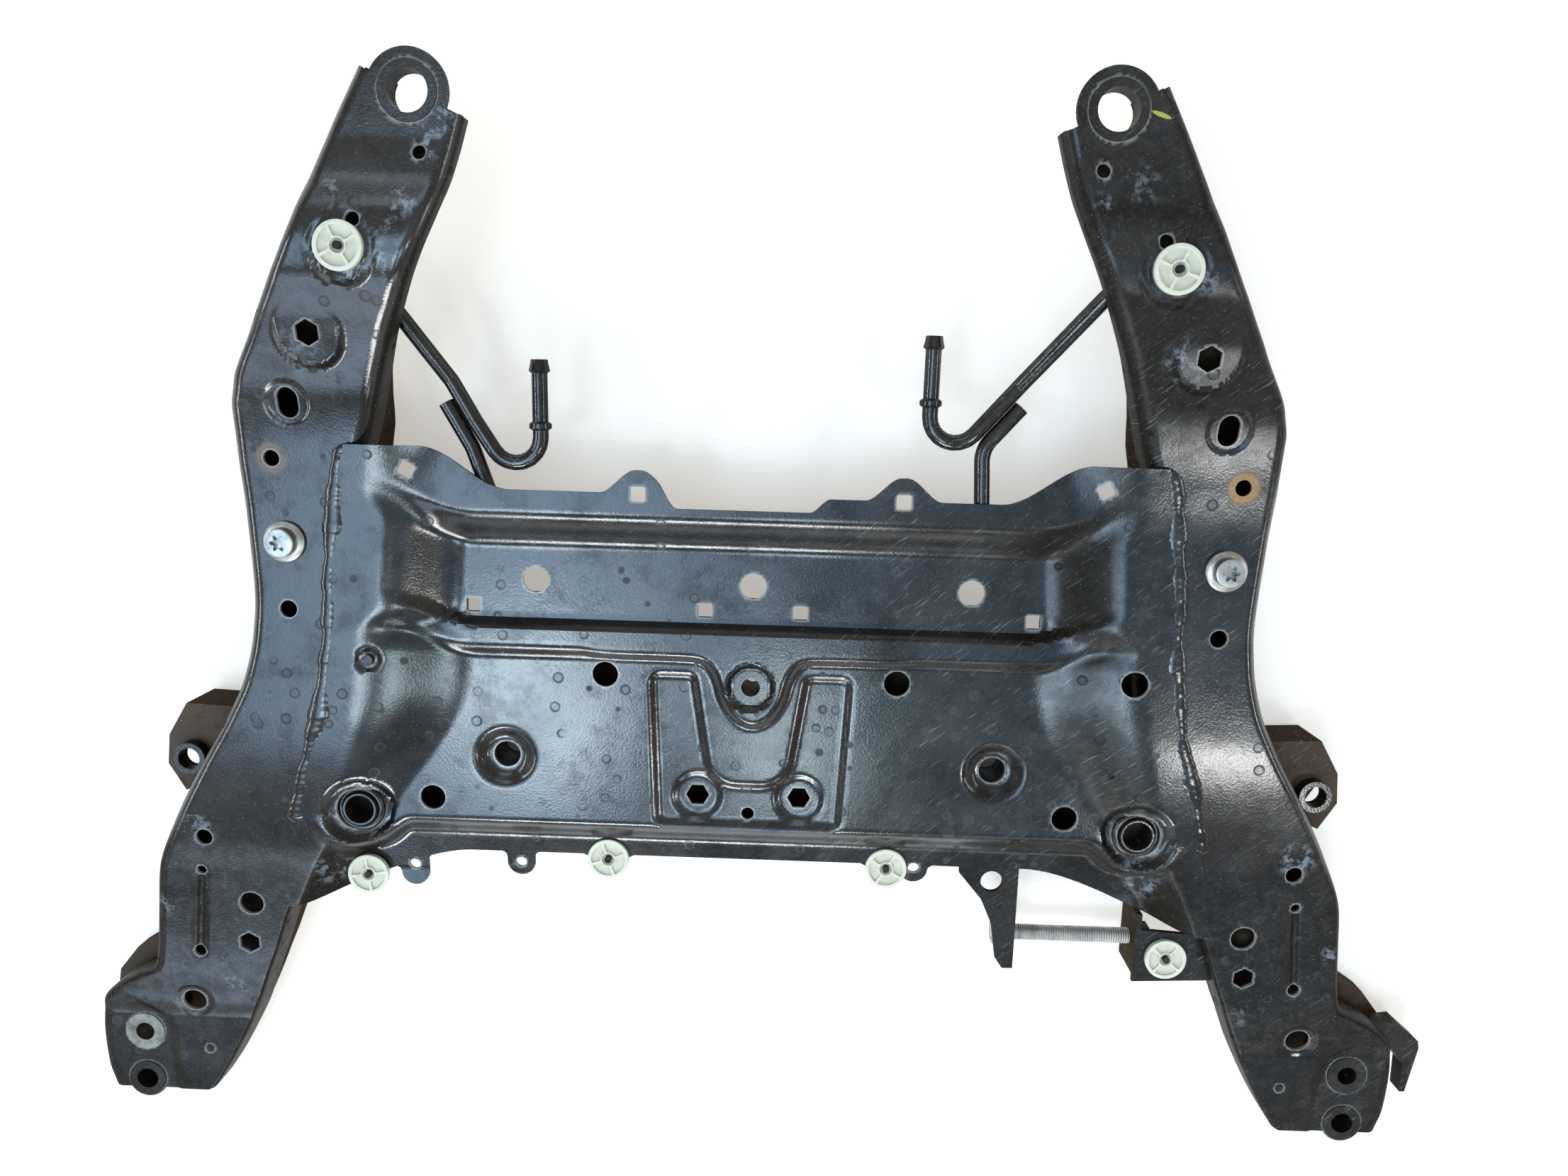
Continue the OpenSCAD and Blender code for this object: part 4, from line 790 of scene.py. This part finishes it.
def plate_relief(x, y, values):
    """Height of the plate's pressed details above its plain form."""
    z = -values.panel_drop / MM * (1 - ramp(-3.6, 3.6, outline_distance(x, y, round_loop(PANEL))))
    tongue = 1 - ramp(-4.2, 4.2, outline_distance(x, y, rounded(TONGUE)))
    z += tongue * np.maximum(CREST_Z - pressed_z(y), 0) * (y < 318)
    z += dish(x, y, CENTRE, 17.5, 13.5, CREST_Z - PLATEAU_Z)
    z += dish(x, y, flipped(BOLT_BOSS, -1), 9, 7, 2)
    for side in (-1, 1):
        z += dish(x, y, flipped(PLATE_HEX, side), 18.5, 14, 2.2)
        z += dish(x, y, flipped(DIMPLE, side), 23, 11.5, values.dimple_depth / MM)
        z += dish(x, y, flipped(LINK, side), 25, 20, 5)
    return z


def plate_outline():
    """Outline of the plate: front edge with its ears, and rear edge with its tabs."""
    # Lobes of the front edge: centre, radius and fillet
    lobes = [(p, 10.2, 3.5) for p in EARS] + [(flipped(FRONT_WASHER, s), 13.5, 5) for s in (-1, 1)]
    lobes.sort(key=lambda lobe: lobe[0][0])
    line = [(-352, front_y(352.0)), (-338, front_y(338.0))]
    x = -334.0
    for (cx, cy), r, fillet in lobes:
        for at in np.arange(x, cx - r - fillet - 1, 4):
            line.append((at, front_y(at)))
        left, right = front_y(cx - r - fillet), front_y(cx + r + fillet)
        low = min(left, right, cy)
        line.extend([(cx - r - fillet, left), (cx - r - fillet * 0.35, left - fillet * 0.35), (cx - r, left - fillet)])
        line.extend(arc((cx, min(low, left - fillet, right - fillet)), r, 180, 360, 24)[1:-1])
        line.extend([(cx + r, right - fillet), (cx + r + fillet * 0.35, right - fillet * 0.35),
                     (cx + r + fillet, right)])
        x = cx + r + fillet + 2
    for at in np.arange(x, 338, 4):
        line.append((at, front_y(at)))
    line.extend([(338, front_y(338.0)), (352, front_y(352.0))])
    across = np.arange(270, -271, -2.0)
    line.extend([(352, 452)] + [(a, rear_y(a)) for a in across] + [(-352, 452)])
    return line


class SUBFRAME_OT_plate(bpy.types.Operator):
    """Presses the crossmember plate, with its panel, tongue, dimples and pierced holes"""
    bl_idname = "subframe.plate"
    bl_label = "Crossmember plate"

    def plain(self, x, y, sheet):
        """Height of the plate without its pressed details."""
        return mix(pressed_z(y - bow(x, y)), lapped_z(y, sheet), side_share(x, y))

    def execute(self, context):
        values = sizes()
        sheet = values.sheet / MM
        step = values.mesh / MM
        front, rear, width = 106, 458, 660
        rows = np.linspace(front, rear, int((rear - front) / step))
        columns = np.linspace(-1, 1, int(width / step))
        y = np.repeat(rows[:, None], len(columns), 1)
        x = columns[None, :] * seam_x(y)
        z = self.plain(x, y, sheet)
        # The rise is carried on in front of the links, so that their dishes lie in it
        link = np.hypot(np.abs(x) - LINK[0], y - LINK[1])
        z = mix(z, self.plain(x, np.maximum(y, 189), sheet), 1 - ramp(24, 38, link)) + plate_relief(x, y, values)
        piece = net("pressed_crossmember_plate", np.stack([x, y, z], -1))
        apply_modifier(piece, "SOLIDIFY", thickness=values.sheet, offset=-1)
        cut(piece, through([plate_outline()]), "INTERSECT")
        holes = [circle(p, PLAIN_R) for p in CHANNEL_HOLES] + [square(p, SQUARE) for p in TABS]
        holes += [circle(p, 3.9) for p in EARS] + [circle(DRAIN, 4.5), circle(CENTRE, 12.15)]
        holes += [circle(flipped(BOLT_BOSS, -1), 4.15), circle(BOLT_BOSS, PLAIN_R), circle(CORNER_WASHER, STUD_R)]
        for s in (-1, 1):
            holes += [square(flipped(p, s), SQUARE) for p in CHANNEL_SQUARES]
            holes += [square(flipped(CORNER_SQUARE, s), SQUARE, 30 * s), hexagon(flipped(PLATE_HEX, s))]
            holes += [circle(flipped(p, s), PLAIN_R) for p in PLATE_HOLES] + [circle(flipped(LINK, s), 15.65)]
            holes += [circle(flipped(DIMPLE, s), 9.5), circle(flipped(FRONT_WASHER, s), STUD_R)]
        cut(piece, through(holes))
        smooth(piece)
        mark_bends(piece)
        mark_wear(piece, holes)
        finish(piece, COATS["sheet"], "sheet_coating", "crossmember_plate")
        return {"FINISHED"}


# Rails

def rail_relief(x, y):
    """Height of a right rail's pressed details above its plain form."""
    def beside(centre):
        """Distance from a place."""
        return np.hypot(x - centre[0], y - centre[1])
    plain = rail_z(y)
    # Flat pad round the hexagon, standing out of the slope on its front side
    above = rail_z(np.full_like(y, ARM_HEX[1])) + 2.4 + 0.28 * (y - ARM_HEX[1]) - plain
    z = (1 - ramp(19.5, 23, beside(ARM_HEX))) * (above + np.sqrt(above ** 2 + 1.5)) / 2
    # Seat of the washer, in a shallow ring
    washer = beside(ARM_WASHER)
    z += (1 - ramp(19, 23, washer)) * (130.9 - plain) - 1.3 * ramp(15.5, 17, washer) * (1 - ramp(19, 21.5, washer))
    z -= 1.1 * (1 - ramp(13.2, 15, beside(ARM_SLOT)))
    z -= 0.9 * (1 - ramp(12, 14, beside(FOOT_HOLE)))
    # Groove of a leg, in a shallow frame
    a, b = np.array(BEAD_ENDS)
    t = np.clip(((x - a[0]) * (b - a)[0] + (y - a[1]) * (b - a)[1]) / ((b - a) @ (b - a)), 0, 1)
    groove = np.hypot(x - a[0] - t * (b - a)[0], y - a[1] - t * (b - a)[1])
    z -= 0.4 * (1 - ramp(4.5, 6.5, groove)) + 1.5 * (1 - ramp(0.6, 3.3, groove))
    # The foot's outer pad lies a little lower
    crease = np.array(FOOT_CREASE, float)
    pad_side = outline_distance(x, y, np.vstack([crease, [(520, -60), (520, 40), (470, 40)]]))
    return z + 1.3 * ramp(-2.5, 2.5, pad_side) * (1 - ramp(15, 40, y))


def rail_outline():
    """Outline that trims a right rail's ends round the mounts."""
    u = np.linspace(0, LAST, 97)
    outer, inner = plan_line((0, 1), u), plan_line((2, 3), u)
    across = inner - outer
    across /= np.linalg.norm(across, axis=1, keepdims=True)
    out, back = outer - 6 * across, inner + 6 * across
    angle = math.degrees(math.atan2(*(outer[-1] - inner[-1])[::-1]))
    rear = arc(REAR_MOUNT, 25, angle, angle + 180, 28)
    foot = arc(LOCATOR, 15.3, 180 + 30, 360 - 30, 16)
    return np.vstack([foot, [(480, -47), (496, -42)], out[2:], rear, back[::-1][:-2], [(396, -42), (409, -47)]])


class SUBFRAME_OT_rails(bpy.types.Operator):
    """Presses the two rail shells, with their lobes, pads, beads and pierced holes"""
    bl_idname = "subframe.rails"
    bl_label = "Rail shells"

    def section(self, width, edges, wall):
        """Places across and heights of a shell's section, inner wall to outer wall, with a radius for each edge."""
        a = np.linspace(0, np.pi / 2, 9)
        sides = []
        for edge in edges:
            rise = np.linspace(-wall, -edge, 4)[:-1]
            sides.append(np.vstack([np.column_stack([np.zeros(3), rise]),
                                    np.column_stack([edge - edge * np.cos(a), -edge + edge * np.sin(a)])]))
        flat = np.linspace(edges[0], width - edges[1], 58)[1:-1]
        return np.vstack([sides[0], np.column_stack([flat, np.zeros(56)]), sides[1][::-1] * [-1, 1] + [width, 0]])

    def execute(self, context):
        sheet = sizes().sheet
        u = np.linspace(0, LAST, 430)
        outer, inner = plan_line((0, 1), u), plan_line((2, 3), u)
        # The shell runs on past both ends, and is then trimmed round the mounts
        ahead = (outer[-1] + inner[-1] - outer[-12] - inner[-12]) / 2
        ahead /= np.linalg.norm(ahead)
        more = np.arange(2.5, 31, 2.5)[:, None]
        before = np.arange(12, 0, -2.4)[:, None]
        outer = np.vstack([outer[:1] - before * [0, 1], outer, outer[-1:] + more * ahead])
        inner = np.vstack([inner[:1] - before * [0, 1], inner, inner[-1:] + more * ahead])
        rows = []
        for o, i in zip(outer, inner):
            wall = mix(SKIRT, ARM_SKIRT, float(ramp(480, 560, (o[1] + i[1]) / 2)))
            inside = mix(3, EDGE_R, float(ramp(110, 220, i[1])))
            q = self.section(np.linalg.norm(o - i), (inside, EDGE_R), wall)
            p = i + (o - i) / np.linalg.norm(o - i) * q[:, :1]
            z = rail_z(p[:, 1]) + q[:, 1]
            top = np.clip(1 + q[:, 1] / 2, 0, 1)
            rows.append(np.column_stack([p, z + top * rail_relief(p[:, 0], p[:, 1])]))
        rows = np.array(rows)
        for side, name in ((-1, "left"), (1, "right")):
            points = rows if side > 0 else rows[:, ::-1] * [-1, 1, 1]
            piece = net("pressed_rail_" + name, points)
            apply_modifier(piece, "SOLIDIFY", thickness=sheet, offset=-1)
            cut(piece, through([flipped(rail_outline(), side)]), "INTERSECT")
            holes = [circle(flipped(p, side), r) for p, r in RAIL_HOLES]
            holes += [circle(flipped(REAR_MOUNT, side), 18.15), circle(flipped(FRONT_MOUNT, side), 14.65)]
            holes += [circle(flipped(LOCATOR, side), 14.15), circle(flipped(RAIL_BOLT, side), 6.15)]
            holes += [circle(flipped(ARM_WASHER, side), STUD_R), long_hole(flipped(ARM_SLOT, side), 14, 20)]
            holes += [hexagon(flipped(ARM_HEX, side), 30), hexagon(flipped(LEG_HEX, side), 30)]
            cut(piece, through(holes))
            smooth(piece)
            mark_bends(piece)
            mark_wear(piece, holes)
            place = points_of(piece)
            d = np.hypot(place[:, 0] - side * STAIN[0], place[:, 1] - STAIN[1])
            store(piece, "stain", (1 if side > 0 else 0.3) * (1 - ramp(9, 12, d)))
            finish(piece, COATS["sheet"], "sheet_coating", "rail_shell_" + name)
        return {"FINISHED"}


# Welds

class SUBFRAME_OT_welds(bpy.types.Operator):
    """Lays the lumpy fillet beads between the plate and the rails"""
    bl_idname = "subframe.welds"
    bl_label = "Seam welds"

    def execute(self, context):
        bead = sizes().bead / MM
        sheet = sizes().sheet / MM
        random = np.random.default_rng(7)
        y = np.arange(182, 452.1, 1.2)
        a = np.linspace(0, 2 * np.pi, 19)
        for side, name in ((-1, "left"), (1, "right")):
            lump = sum(w ** 0.4 * np.sin(2 * np.pi * y / w + random.uniform(0, 6)) for w in (5, 13, 29, 67))
            drops = sum(random.uniform(0.3, 1) * np.exp(-((y - c) / random.uniform(5, 12)) ** 2)
                        for c in random.uniform(190, 445, 9))
            r = bead * (1 + 0.022 * lump + 0.3 * drops)
            r *= np.sqrt(np.clip((y - y[0]) / 5, 0, 1) * np.clip((y[-1] - y) / 5, 0, 1))
            x = seam_x(y) + 1.4 + 0.5 * np.sin(y / 11) + 0.3 * np.sin(y / 4.3)
            z = rail_z(y) + SEAM_GAP + sheet * 0.4
            px = x[:, None] + r[:, None] * 1.4 * np.cos(a)
            pz = z[:, None] + r[:, None] * 0.48 * np.sin(a)
            points = np.stack([side * px, np.repeat(y[:, None], len(a), 1), pz], -1)
            piece = net("seam_bead_" + name, points, weld=True)
            smooth(piece, 60)
            mark_bends(piece)
            finish(piece, COATS["sheet"], "sheet_coating", "seam_weld_" + name)
        return {"FINISHED"}


# Hangers

class SUBFRAME_OT_hangers(bpy.types.Operator):
    """Bends the hanger rods with their rings and barbs, and the stays beside them"""
    bl_idname = "subframe.hangers"
    bl_label = "Hanger rods"

    def bar(self, name, line, radii, node):
        """Round bar along a line, with its ends closed."""
        radii[0] = radii[-1] = 0
        line[1], line[-2] = line[0] + (line[1] - line[0]) * 0.01, line[-1] + (line[-2] - line[-1]) * 0.01
        piece = net(name, ring_rows(line + [0, 0, ROD_Z], radii), weld=True)
        smooth(piece, 50)
        mark_bends(piece)
        finish(piece, COATS["rod"], "rod_coating", node)

    def rod(self, name, corners, rise, node):
        """Hanger rod with a ring and a barb at its free end."""
        line, at = bent_line(corners, (60, 60, 17), rise)
        left = at[-1] - at
        barb = 2.2 * (np.clip(left / 9, 0, 1) * (left < 9) + (np.abs(left - 43) < 2.2))
        self.bar(name, line, ROD_R + barb, node)

    def stay(self, name, rod, start, knee, run, side, node):
        """Stay from the plate that runs beside a rod."""
        a, b = np.array(rod[1]), np.array(rod[2])
        d = (a - b) / np.linalg.norm(a - b)
        beside = b - side * np.array([-d[1], d[0]]) * (2 * ROD_R + 0.15)
        line, at = bent_line([start, beside - d * knee, beside + d * run], (20,))
        self.bar(name, line, np.full(len(at), ROD_R), node)

    def execute(self, context):
        self.rod("hanger_bar_left", ROD_LEFT, ROD_RISES[0], "hanger_rod_left")
        self.rod("hanger_bar_right", ROD_RIGHT, ROD_RISES[1], "hanger_rod_right")
        self.stay("stay_bar_left", ROD_LEFT, (-176, 412), 14, 20, -1, "hanger_stay_left")
        self.stay("stay_bar_right", ROD_RIGHT, (153, 412), 6, 31, 1, "hanger_stay_right")
        return {"FINISHED"}


# Fasteners

class SUBFRAME_OT_washers(bpy.types.Operator):
    """Moulds one push-on washer and copies it to its six studs"""
    bl_idname = "subframe.washers"
    bl_label = "Retaining washers"

    def execute(self, context):
        one = disc(sizes().washer / MM, 4)
        for width in (2.2, 0.5, 6, 0.8, 0.8, 1.2):
            inset(width)
        lift(-2.4)
        # Pockets between the spokes
        pick(one, lambda p, n: n.z > 0.9 and 5.7 < math.hypot(p.x, p.y) < 12
             and min(abs(p.x), abs(p.y)) > 1.1)
        extrude(-1.6)
        bpy.ops.object.mode_set(mode="OBJECT")
        apply_modifier(one, "BEVEL", width=0.4 * MM, segments=2, limit_method="ANGLE", angle_limit=math.radians(40))
        place = points_of(one)
        # Pockets between the spokes, marked so that the nylon paints a shade in them
        store(one, "pocket", (place[:, 2] < 3.2) & (np.hypot(place[:, 0], place[:, 1]) < 14))
        seats = [(-ARM_WASHER[0], ARM_WASHER[1], 131), (*ARM_WASHER, 131), (-FRONT_WASHER[0], FRONT_WASHER[1], 45),
                 (*FRONT_WASHER, 45), (*CORNER_WASHER, 45), (*CLEVIS_WASHER, 46)]
        moves = [Matrix.Translation(Vector(seat) * MM) @ Matrix.Rotation(0.5 + 0.7 * k, 4, "Z")
                 for k, seat in enumerate(seats)]
        piece = copied(one, moves, "push_on_washers")
        smooth(piece, 35)
        finish(piece, COATS["nylon"], "ivory_plastic", "retaining_washers")
        return {"FINISHED"}


class SUBFRAME_OT_rail_bolts(bpy.types.Operator):
    """Turns one six-lobe flange bolt and copies it to both rails"""
    bl_idname = "subframe.rail_bolts"
    bl_label = "Rail bolts"

    def execute(self, context):
        # Flange, head and shank
        one = disc(14, 2.2)
        inset(3)
        lift(1.6)
        inset(1)
        extrude(6.6)
        inset(0.8)
        lift(0.6)
        pick(one, lambda p, n: n.z < -0.9)
        inset(8)
        extrude(-72.7)
        bpy.ops.object.mode_set(mode="OBJECT")
        apply_modifier(one, "BEVEL", width=0.5 * MM, segments=3, limit_method="ANGLE", angle_limit=math.radians(35))
        # Six-lobe socket
        a = np.linspace(0, 2 * np.pi, 97)[:-1]
        r = 4.7 + 1.3 * np.cos(6 * a)
        cut(one, [prism(np.column_stack([r * np.cos(a), r * np.sin(a)]), 7, 20)])
        moves = [Matrix.Translation(Vector((*flipped(RAIL_BOLT, s), BOLT_SEAT_Z)) * MM) for s in (-1, 1)]
        piece = copied(one, moves, "flange_bolts")
        smooth(piece, 35)
        finish(piece, COATS["zinc"], "zinc_steel", "rail_bolts")
        return {"FINISHED"}


class SUBFRAME_OT_clevis_bolt(bpy.types.Operator):
    """Turns the clevis bolt with its splined head"""
    bl_idname = "subframe.clevis_bolt"
    bl_label = "Clevis bolt"

    def execute(self, context):
        start, end = CLEVIS_ENDS
        # Rings along the bolt: place, radius and depth of the splines. Those of the thread stand out in turn
        thread = [(x, 6 - 0.6 * (k % 2), 0) for k, x in enumerate(np.arange(8, end - start - 2, 0.9))]
        rings = [(-11, 0, 0), (-11, 5.2, 0), (-8.6, 5.2, 0), (-8.6, 6, 0), (-11, 6.4, 0), (-11, 8.2, 0.4),
                 (-10.4, 9, 0.9), (-2.4, 9, 0.9), (-2.2, 10.2, 0), (-1.6, 10.8, 0), (0, 10.8, 0), (0, 6, 0),
                 *thread, (end - start - 1, 6, 0), (end - start, 5, 0), (end - start, 0, 0)]
        a = np.linspace(0, 2 * np.pi, 97)
        wave = np.clip(2 * np.cos(12 * a), -1, 1)
        rows = []
        for x, r, depth in rings:
            radius = r + depth / 2 * wave
            rows.append(np.column_stack([np.full(len(a), start + x), CLEVIS_AXIS[0] + radius * np.cos(a),
                                         CLEVIS_AXIS[1] + radius * np.sin(a)]))
        piece = net("splined_clevis_bolt", np.array(rows), weld=True)
        smooth(piece, 30)
        finish(piece, COATS["flake"], "zinc_steel", "clevis_bolt")
        return {"FINISHED"}


class SUBFRAME_OT_link_sleeves(bpy.types.Operator):
    """Turns the link sleeves, with the weld round their tops"""
    bl_idname = "subframe.link_sleeves"
    bl_label = "Link sleeves"

    def execute(self, context):
        profile = np.array([(10, 22.5), (15.5, 22.5), (15.5, 60), (17.2, 61.5), (16.2, 64), (14.6, 65), (13.2, 64.6),
                            (12.6, 63.8), (12.1, 66), (11.6, 66.6), (10.5, 66.6), (10, 66)])
        for side, name in ((-1, "left"), (1, "right")):
            piece = lathe("welded_sleeve_" + name, flipped(LINK, side), profile)
            smooth(piece, 50)
            mark_bends(piece)
            finish(piece, COATS["sheet"], "sheet_coating", "link_sleeve_" + name)
        return {"FINISHED"}


# Carried-over solids

PLAIN_NODES = {
    "bracket": ("foot_gusset_left", "foot_gusset_right", "control_arm_bracket_left", "control_arm_bracket_right",
                "rail_back_left", "rail_back_right", "crossmember_back"),
    "sheet": ("front_mount_sleeve_right", "front_locator_sleeve_left", "front_locator_sleeve_right",
              "rear_mount_sleeve_left", "rear_mount_sleeve_right", "control_arm_collar_left",
              "control_arm_collar_right", "centre_sleeve", "clevis_nut", "foot_clip_right"),
    "clevis": ("clevis_inner_bracket", "clevis_outer_bracket", "retaining_studs"),
    "sleeve": ("front_mount_sleeve_left",),
    "bare": ("rail_bolt_tubes", "rail_bolt_nuts", "steering_sleeve_left", "steering_sleeve_right", "plate_nut",
             "plate_bolt"),
}


class SUBFRAME_OT_coat_solids(bpy.types.Operator):
    """Coats the solids that are carried over as they are"""
    bl_idname = "subframe.coat_solids"
    bl_label = "Coat the solids"

    def execute(self, context):
        for coat, names in PLAIN_NODES.items():
            for name in names:
                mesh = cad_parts[name].data
                mesh.materials.clear()
                mesh.materials.append(COATS[coat])
        return {"FINISHED"}


# Stage

# Soft lights: name, place and aim in mm, width and depth in mm, power in watts, and colour
LIGHTS = [
    ("softbox_key", (-520, -190, 1650), (-159, 277, 61), (380, 300), 2.7, (0.78, 0.93, 1)),
    ("softbox_middle", (10, -145, 1300), (0, 250, 61), (180, 280), 1.15, (0.74, 0.92, 1)),
    ("softbox_front", (-350, -1950, 1450), (-100, 330, 60), (1100, 480), 24, (0.93, 0.97, 1)),
    ("softbox_front_right", (850, -1950, 1450), (150, 330, 60), (400, 480), 2.4, (0.93, 0.97, 1)),
    ("softbox_right", (976, -400, 1650), (327, 264, 72), (230, 230), 3.3, (1, 0.99, 0.97)),
    ("rim_left", (-1500, 300, 900), (-340, 300, 70), (1200, 160), 6, (0.8, 0.91, 1)),
    ("rim_right", (1700, 450, 1000), (330, 450, 90), (1000, 140), 4, (0.85, 0.94, 1)),
]
# Light from the surroundings: a brown hall, a grey sky above it and pale walls round the floor
HALL, SKY, WALLS = (0.33, 0.275, 0.21, 1), (0.4, 0.53, 0.66, 1), (0.86, 0.87, 0.89, 1)
# Panels in the sky: soft edges on the left, right, front and rear, as slopes, and colour. The bright blue ones
# hang left of the middle and weaker ones to the front and rear
PANELS = [
    ((-0.7, -0.55), (0.7, 0.55), (0.06, 0.2), (0.62, 0.5), (0.4, 0.36, 0.31, 1)),
    ((-0.62, -0.46), (0.03, -0.15), (-0.3, -0.2), (0.24, 0.04), (2, 2.85, 3.8, 1)),
    ((-0.62, -0.46), (-0.06, -0.28), (-0.58, -0.46), (-0.2, -0.3), (2, 2.85, 3.8, 1)),
    ((-0.9, -0.7), (0.75, 0.55), (-1.5, -1.3), (-0.74, -0.86), (0.25, 0.28, 0.3, 1)),
    ((-0.95, -0.8), (-0.36, -0.46), (-1.7, -1.5), (-0.84, -0.98), (1.8, 2.3, 2.9, 1)),
    ((-0.7, -0.55), (0.3, 0.1), (0.66, 0.8), (1.3, 1.15), (1.3, 1.5, 1.7, 1)),
]
# Camera fitted to the photo: place in mm, pitch, yaw and roll in degrees, focal length and picture width in pixels
CAMERA_PLACE, CAMERA_TURNS = (31.2, 498.5, 839), (10, -0.72, 1.85)
FOCAL_PIXELS, PICTURE_PIXELS, SENSOR_MM = 1620, 2212, 36


class SUBFRAME_OT_stage(bpy.types.Operator):
    """Sets up the floor, the soft lights and the camera"""
    bl_idname = "subframe.stage"
    bl_label = "Stage"

    def softbox(self, name, place, aim, size, power, colour):
        """Adds one soft light."""
        bpy.ops.object.select_all(action="DESELECT")
        bpy.ops.object.light_add(type="AREA", location=Vector(place) * MM)
        lamp = bpy.context.object
        lamp.name = lamp.data.name = name
        lamp.rotation_euler = (Vector(aim) - Vector(place)).to_track_quat("-Z", "Y").to_euler()
        lamp.data.shape = "RECTANGLE"
        lamp.data.size, lamp.data.size_y = size[0] * MM, size[1] * MM
        lamp.data.energy = power
        lamp.data.color = colour

    def surroundings(self, scene):
        """Lights the part from all round, with panels that the coating mirrors."""
        scene.world = scene.world or bpy.data.worlds.new("studio")
        scene.world.use_nodes = True
        tree = scene.world.node_tree
        tree.nodes.clear()
        x, y, height = add(tree, "SeparateXYZ", {0: add(tree, "TexCoord", out="Generated")}).node.outputs
        slopes = [add(tree, "Math", {"operation": "DIVIDE", 0: source, 1: height}) for source in (x, y)]
        soft = {"interpolation_type": "SMOOTHSTEP"}
        above, high, over_walls = (add(tree, "MapRange", {**soft, "From Min": low, "From Max": top, "Value": height})
                                   for low, top in ((0.3, 0.4), (0.73, 0.9), (0.13, 0.3)))
        light = add(tree, "Mix", {"data_type": "RGBA", 6: HALL, 7: SKY, 0: high}, 2)
        for *edges, colour in PANELS:
            share = above
            for k, (start, stop) in enumerate(edges):
                edge = add(tree, "MapRange", {**soft, "From Min": start, "From Max": stop, "Value": slopes[k // 2]})
                share = add(tree, "Math", {"operation": "MULTIPLY", 0: share, 1: edge})
            light = add(tree, "Mix", {"data_type": "RGBA", 6: light, 7: colour, 0: share}, 2)
        light = add(tree, "Mix", {"data_type": "RGBA", 6: WALLS, 7: light, 0: over_walls}, 2)
        add(tree, "OutputWorld", {"Surface": add(tree, "Background", {"Color": light})})

    def camera(self, scene):
        """Adds the camera, turned by its pitch, then its yaw, then its roll."""
        bpy.ops.object.camera_add()
        camera = bpy.context.object
        camera.name = "photo_camera"
        pitch, yaw, roll = (math.radians(turn) for turn in CAMERA_TURNS)
        ahead = Vector((0, -math.sin(pitch), -math.cos(pitch)))
        up = Vector((0, math.cos(pitch), -math.sin(pitch)))
        right = Vector((1, 0, 0))
        look = math.cos(yaw) * ahead + math.sin(yaw) * right
        side = math.cos(yaw) * right - math.sin(yaw) * ahead
        right, up = math.cos(roll) * side + math.sin(roll) * up, math.cos(roll) * up - math.sin(roll) * side
        turned = Matrix((right, up, -look)).transposed().to_4x4()
        camera.matrix_world = Matrix.Translation(Vector(CAMERA_PLACE) * MM) @ turned
        camera.data.sensor_fit = "HORIZONTAL"
        camera.data.sensor_width = SENSOR_MM
        camera.data.lens = SENSOR_MM * FOCAL_PIXELS / PICTURE_PIXELS
        camera.data.clip_start = 0.01
        scene.camera = camera

    def execute(self, context):
        bpy.ops.object.select_all(action="DESELECT")
        bpy.ops.mesh.primitive_plane_add(size=40, location=(0, 0.3, -0.0005))
        floor = context.object
        floor.name = "studio_floor"
        floor.data.materials.append(floor_paper("matt_studio_paper", colours().floor))
        for light in LIGHTS:
            self.softbox(*light)
        self.surroundings(context.scene)
        context.scene.view_settings.view_transform = "Standard"
        self.camera(context.scene)
        return {"FINISHED"}


class SUBFRAME_PT_panel(bpy.types.Panel):
    """Lists the pieces, sizes and colours"""
    bl_idname = "SUBFRAME_PT_panel"
    bl_label = "Front Subframe"
    bl_space_type = "VIEW_3D"
    bl_region_type = "UI"
    bl_category = "Subframe"

    def draw(self, context):
        layout = self.layout
        for group in (context.scene.subframe_sizes, context.scene.subframe_colours):
            box = layout.box()
            for name in group.bl_rna.properties.keys():
                if name not in ("rna_type", "name"):
                    box.prop(group, name)
        for operator in OPERATORS:
            layout.operator(operator.bl_idname)


OPERATORS = (
    SUBFRAME_OT_stage, SUBFRAME_OT_plate, SUBFRAME_OT_rails, SUBFRAME_OT_welds, SUBFRAME_OT_hangers,
    SUBFRAME_OT_washers, SUBFRAME_OT_rail_bolts, SUBFRAME_OT_clevis_bolt, SUBFRAME_OT_link_sleeves,
    SUBFRAME_OT_coat_solids,
)
CLASSES = (SubframeSizes, SubframeColours, *OPERATORS, SUBFRAME_PT_panel)


def register():
    """Adds the classes and the panel's values."""
    for one in CLASSES:
        bpy.utils.register_class(one)
    bpy.types.Scene.subframe_sizes = PointerProperty(type=SubframeSizes)
    bpy.types.Scene.subframe_colours = PointerProperty(type=SubframeColours)


def unregister():
    """Takes them away again."""
    del bpy.types.Scene.subframe_colours
    del bpy.types.Scene.subframe_sizes
    for one in reversed(CLASSES):
        bpy.utils.unregister_class(one)


def main():
    """Builds the stage and every piece."""
    register()
    make_coats(colours())
    bpy.ops.subframe.stage()
    bpy.ops.subframe.plate()
    bpy.ops.subframe.rails()
    bpy.ops.subframe.welds()
    bpy.ops.subframe.hangers()
    bpy.ops.subframe.washers()
    bpy.ops.subframe.rail_bolts()
    bpy.ops.subframe.clevis_bolt()
    bpy.ops.subframe.link_sleeves()
    bpy.ops.subframe.coat_solids()


if __name__ == "__main__":
    main()
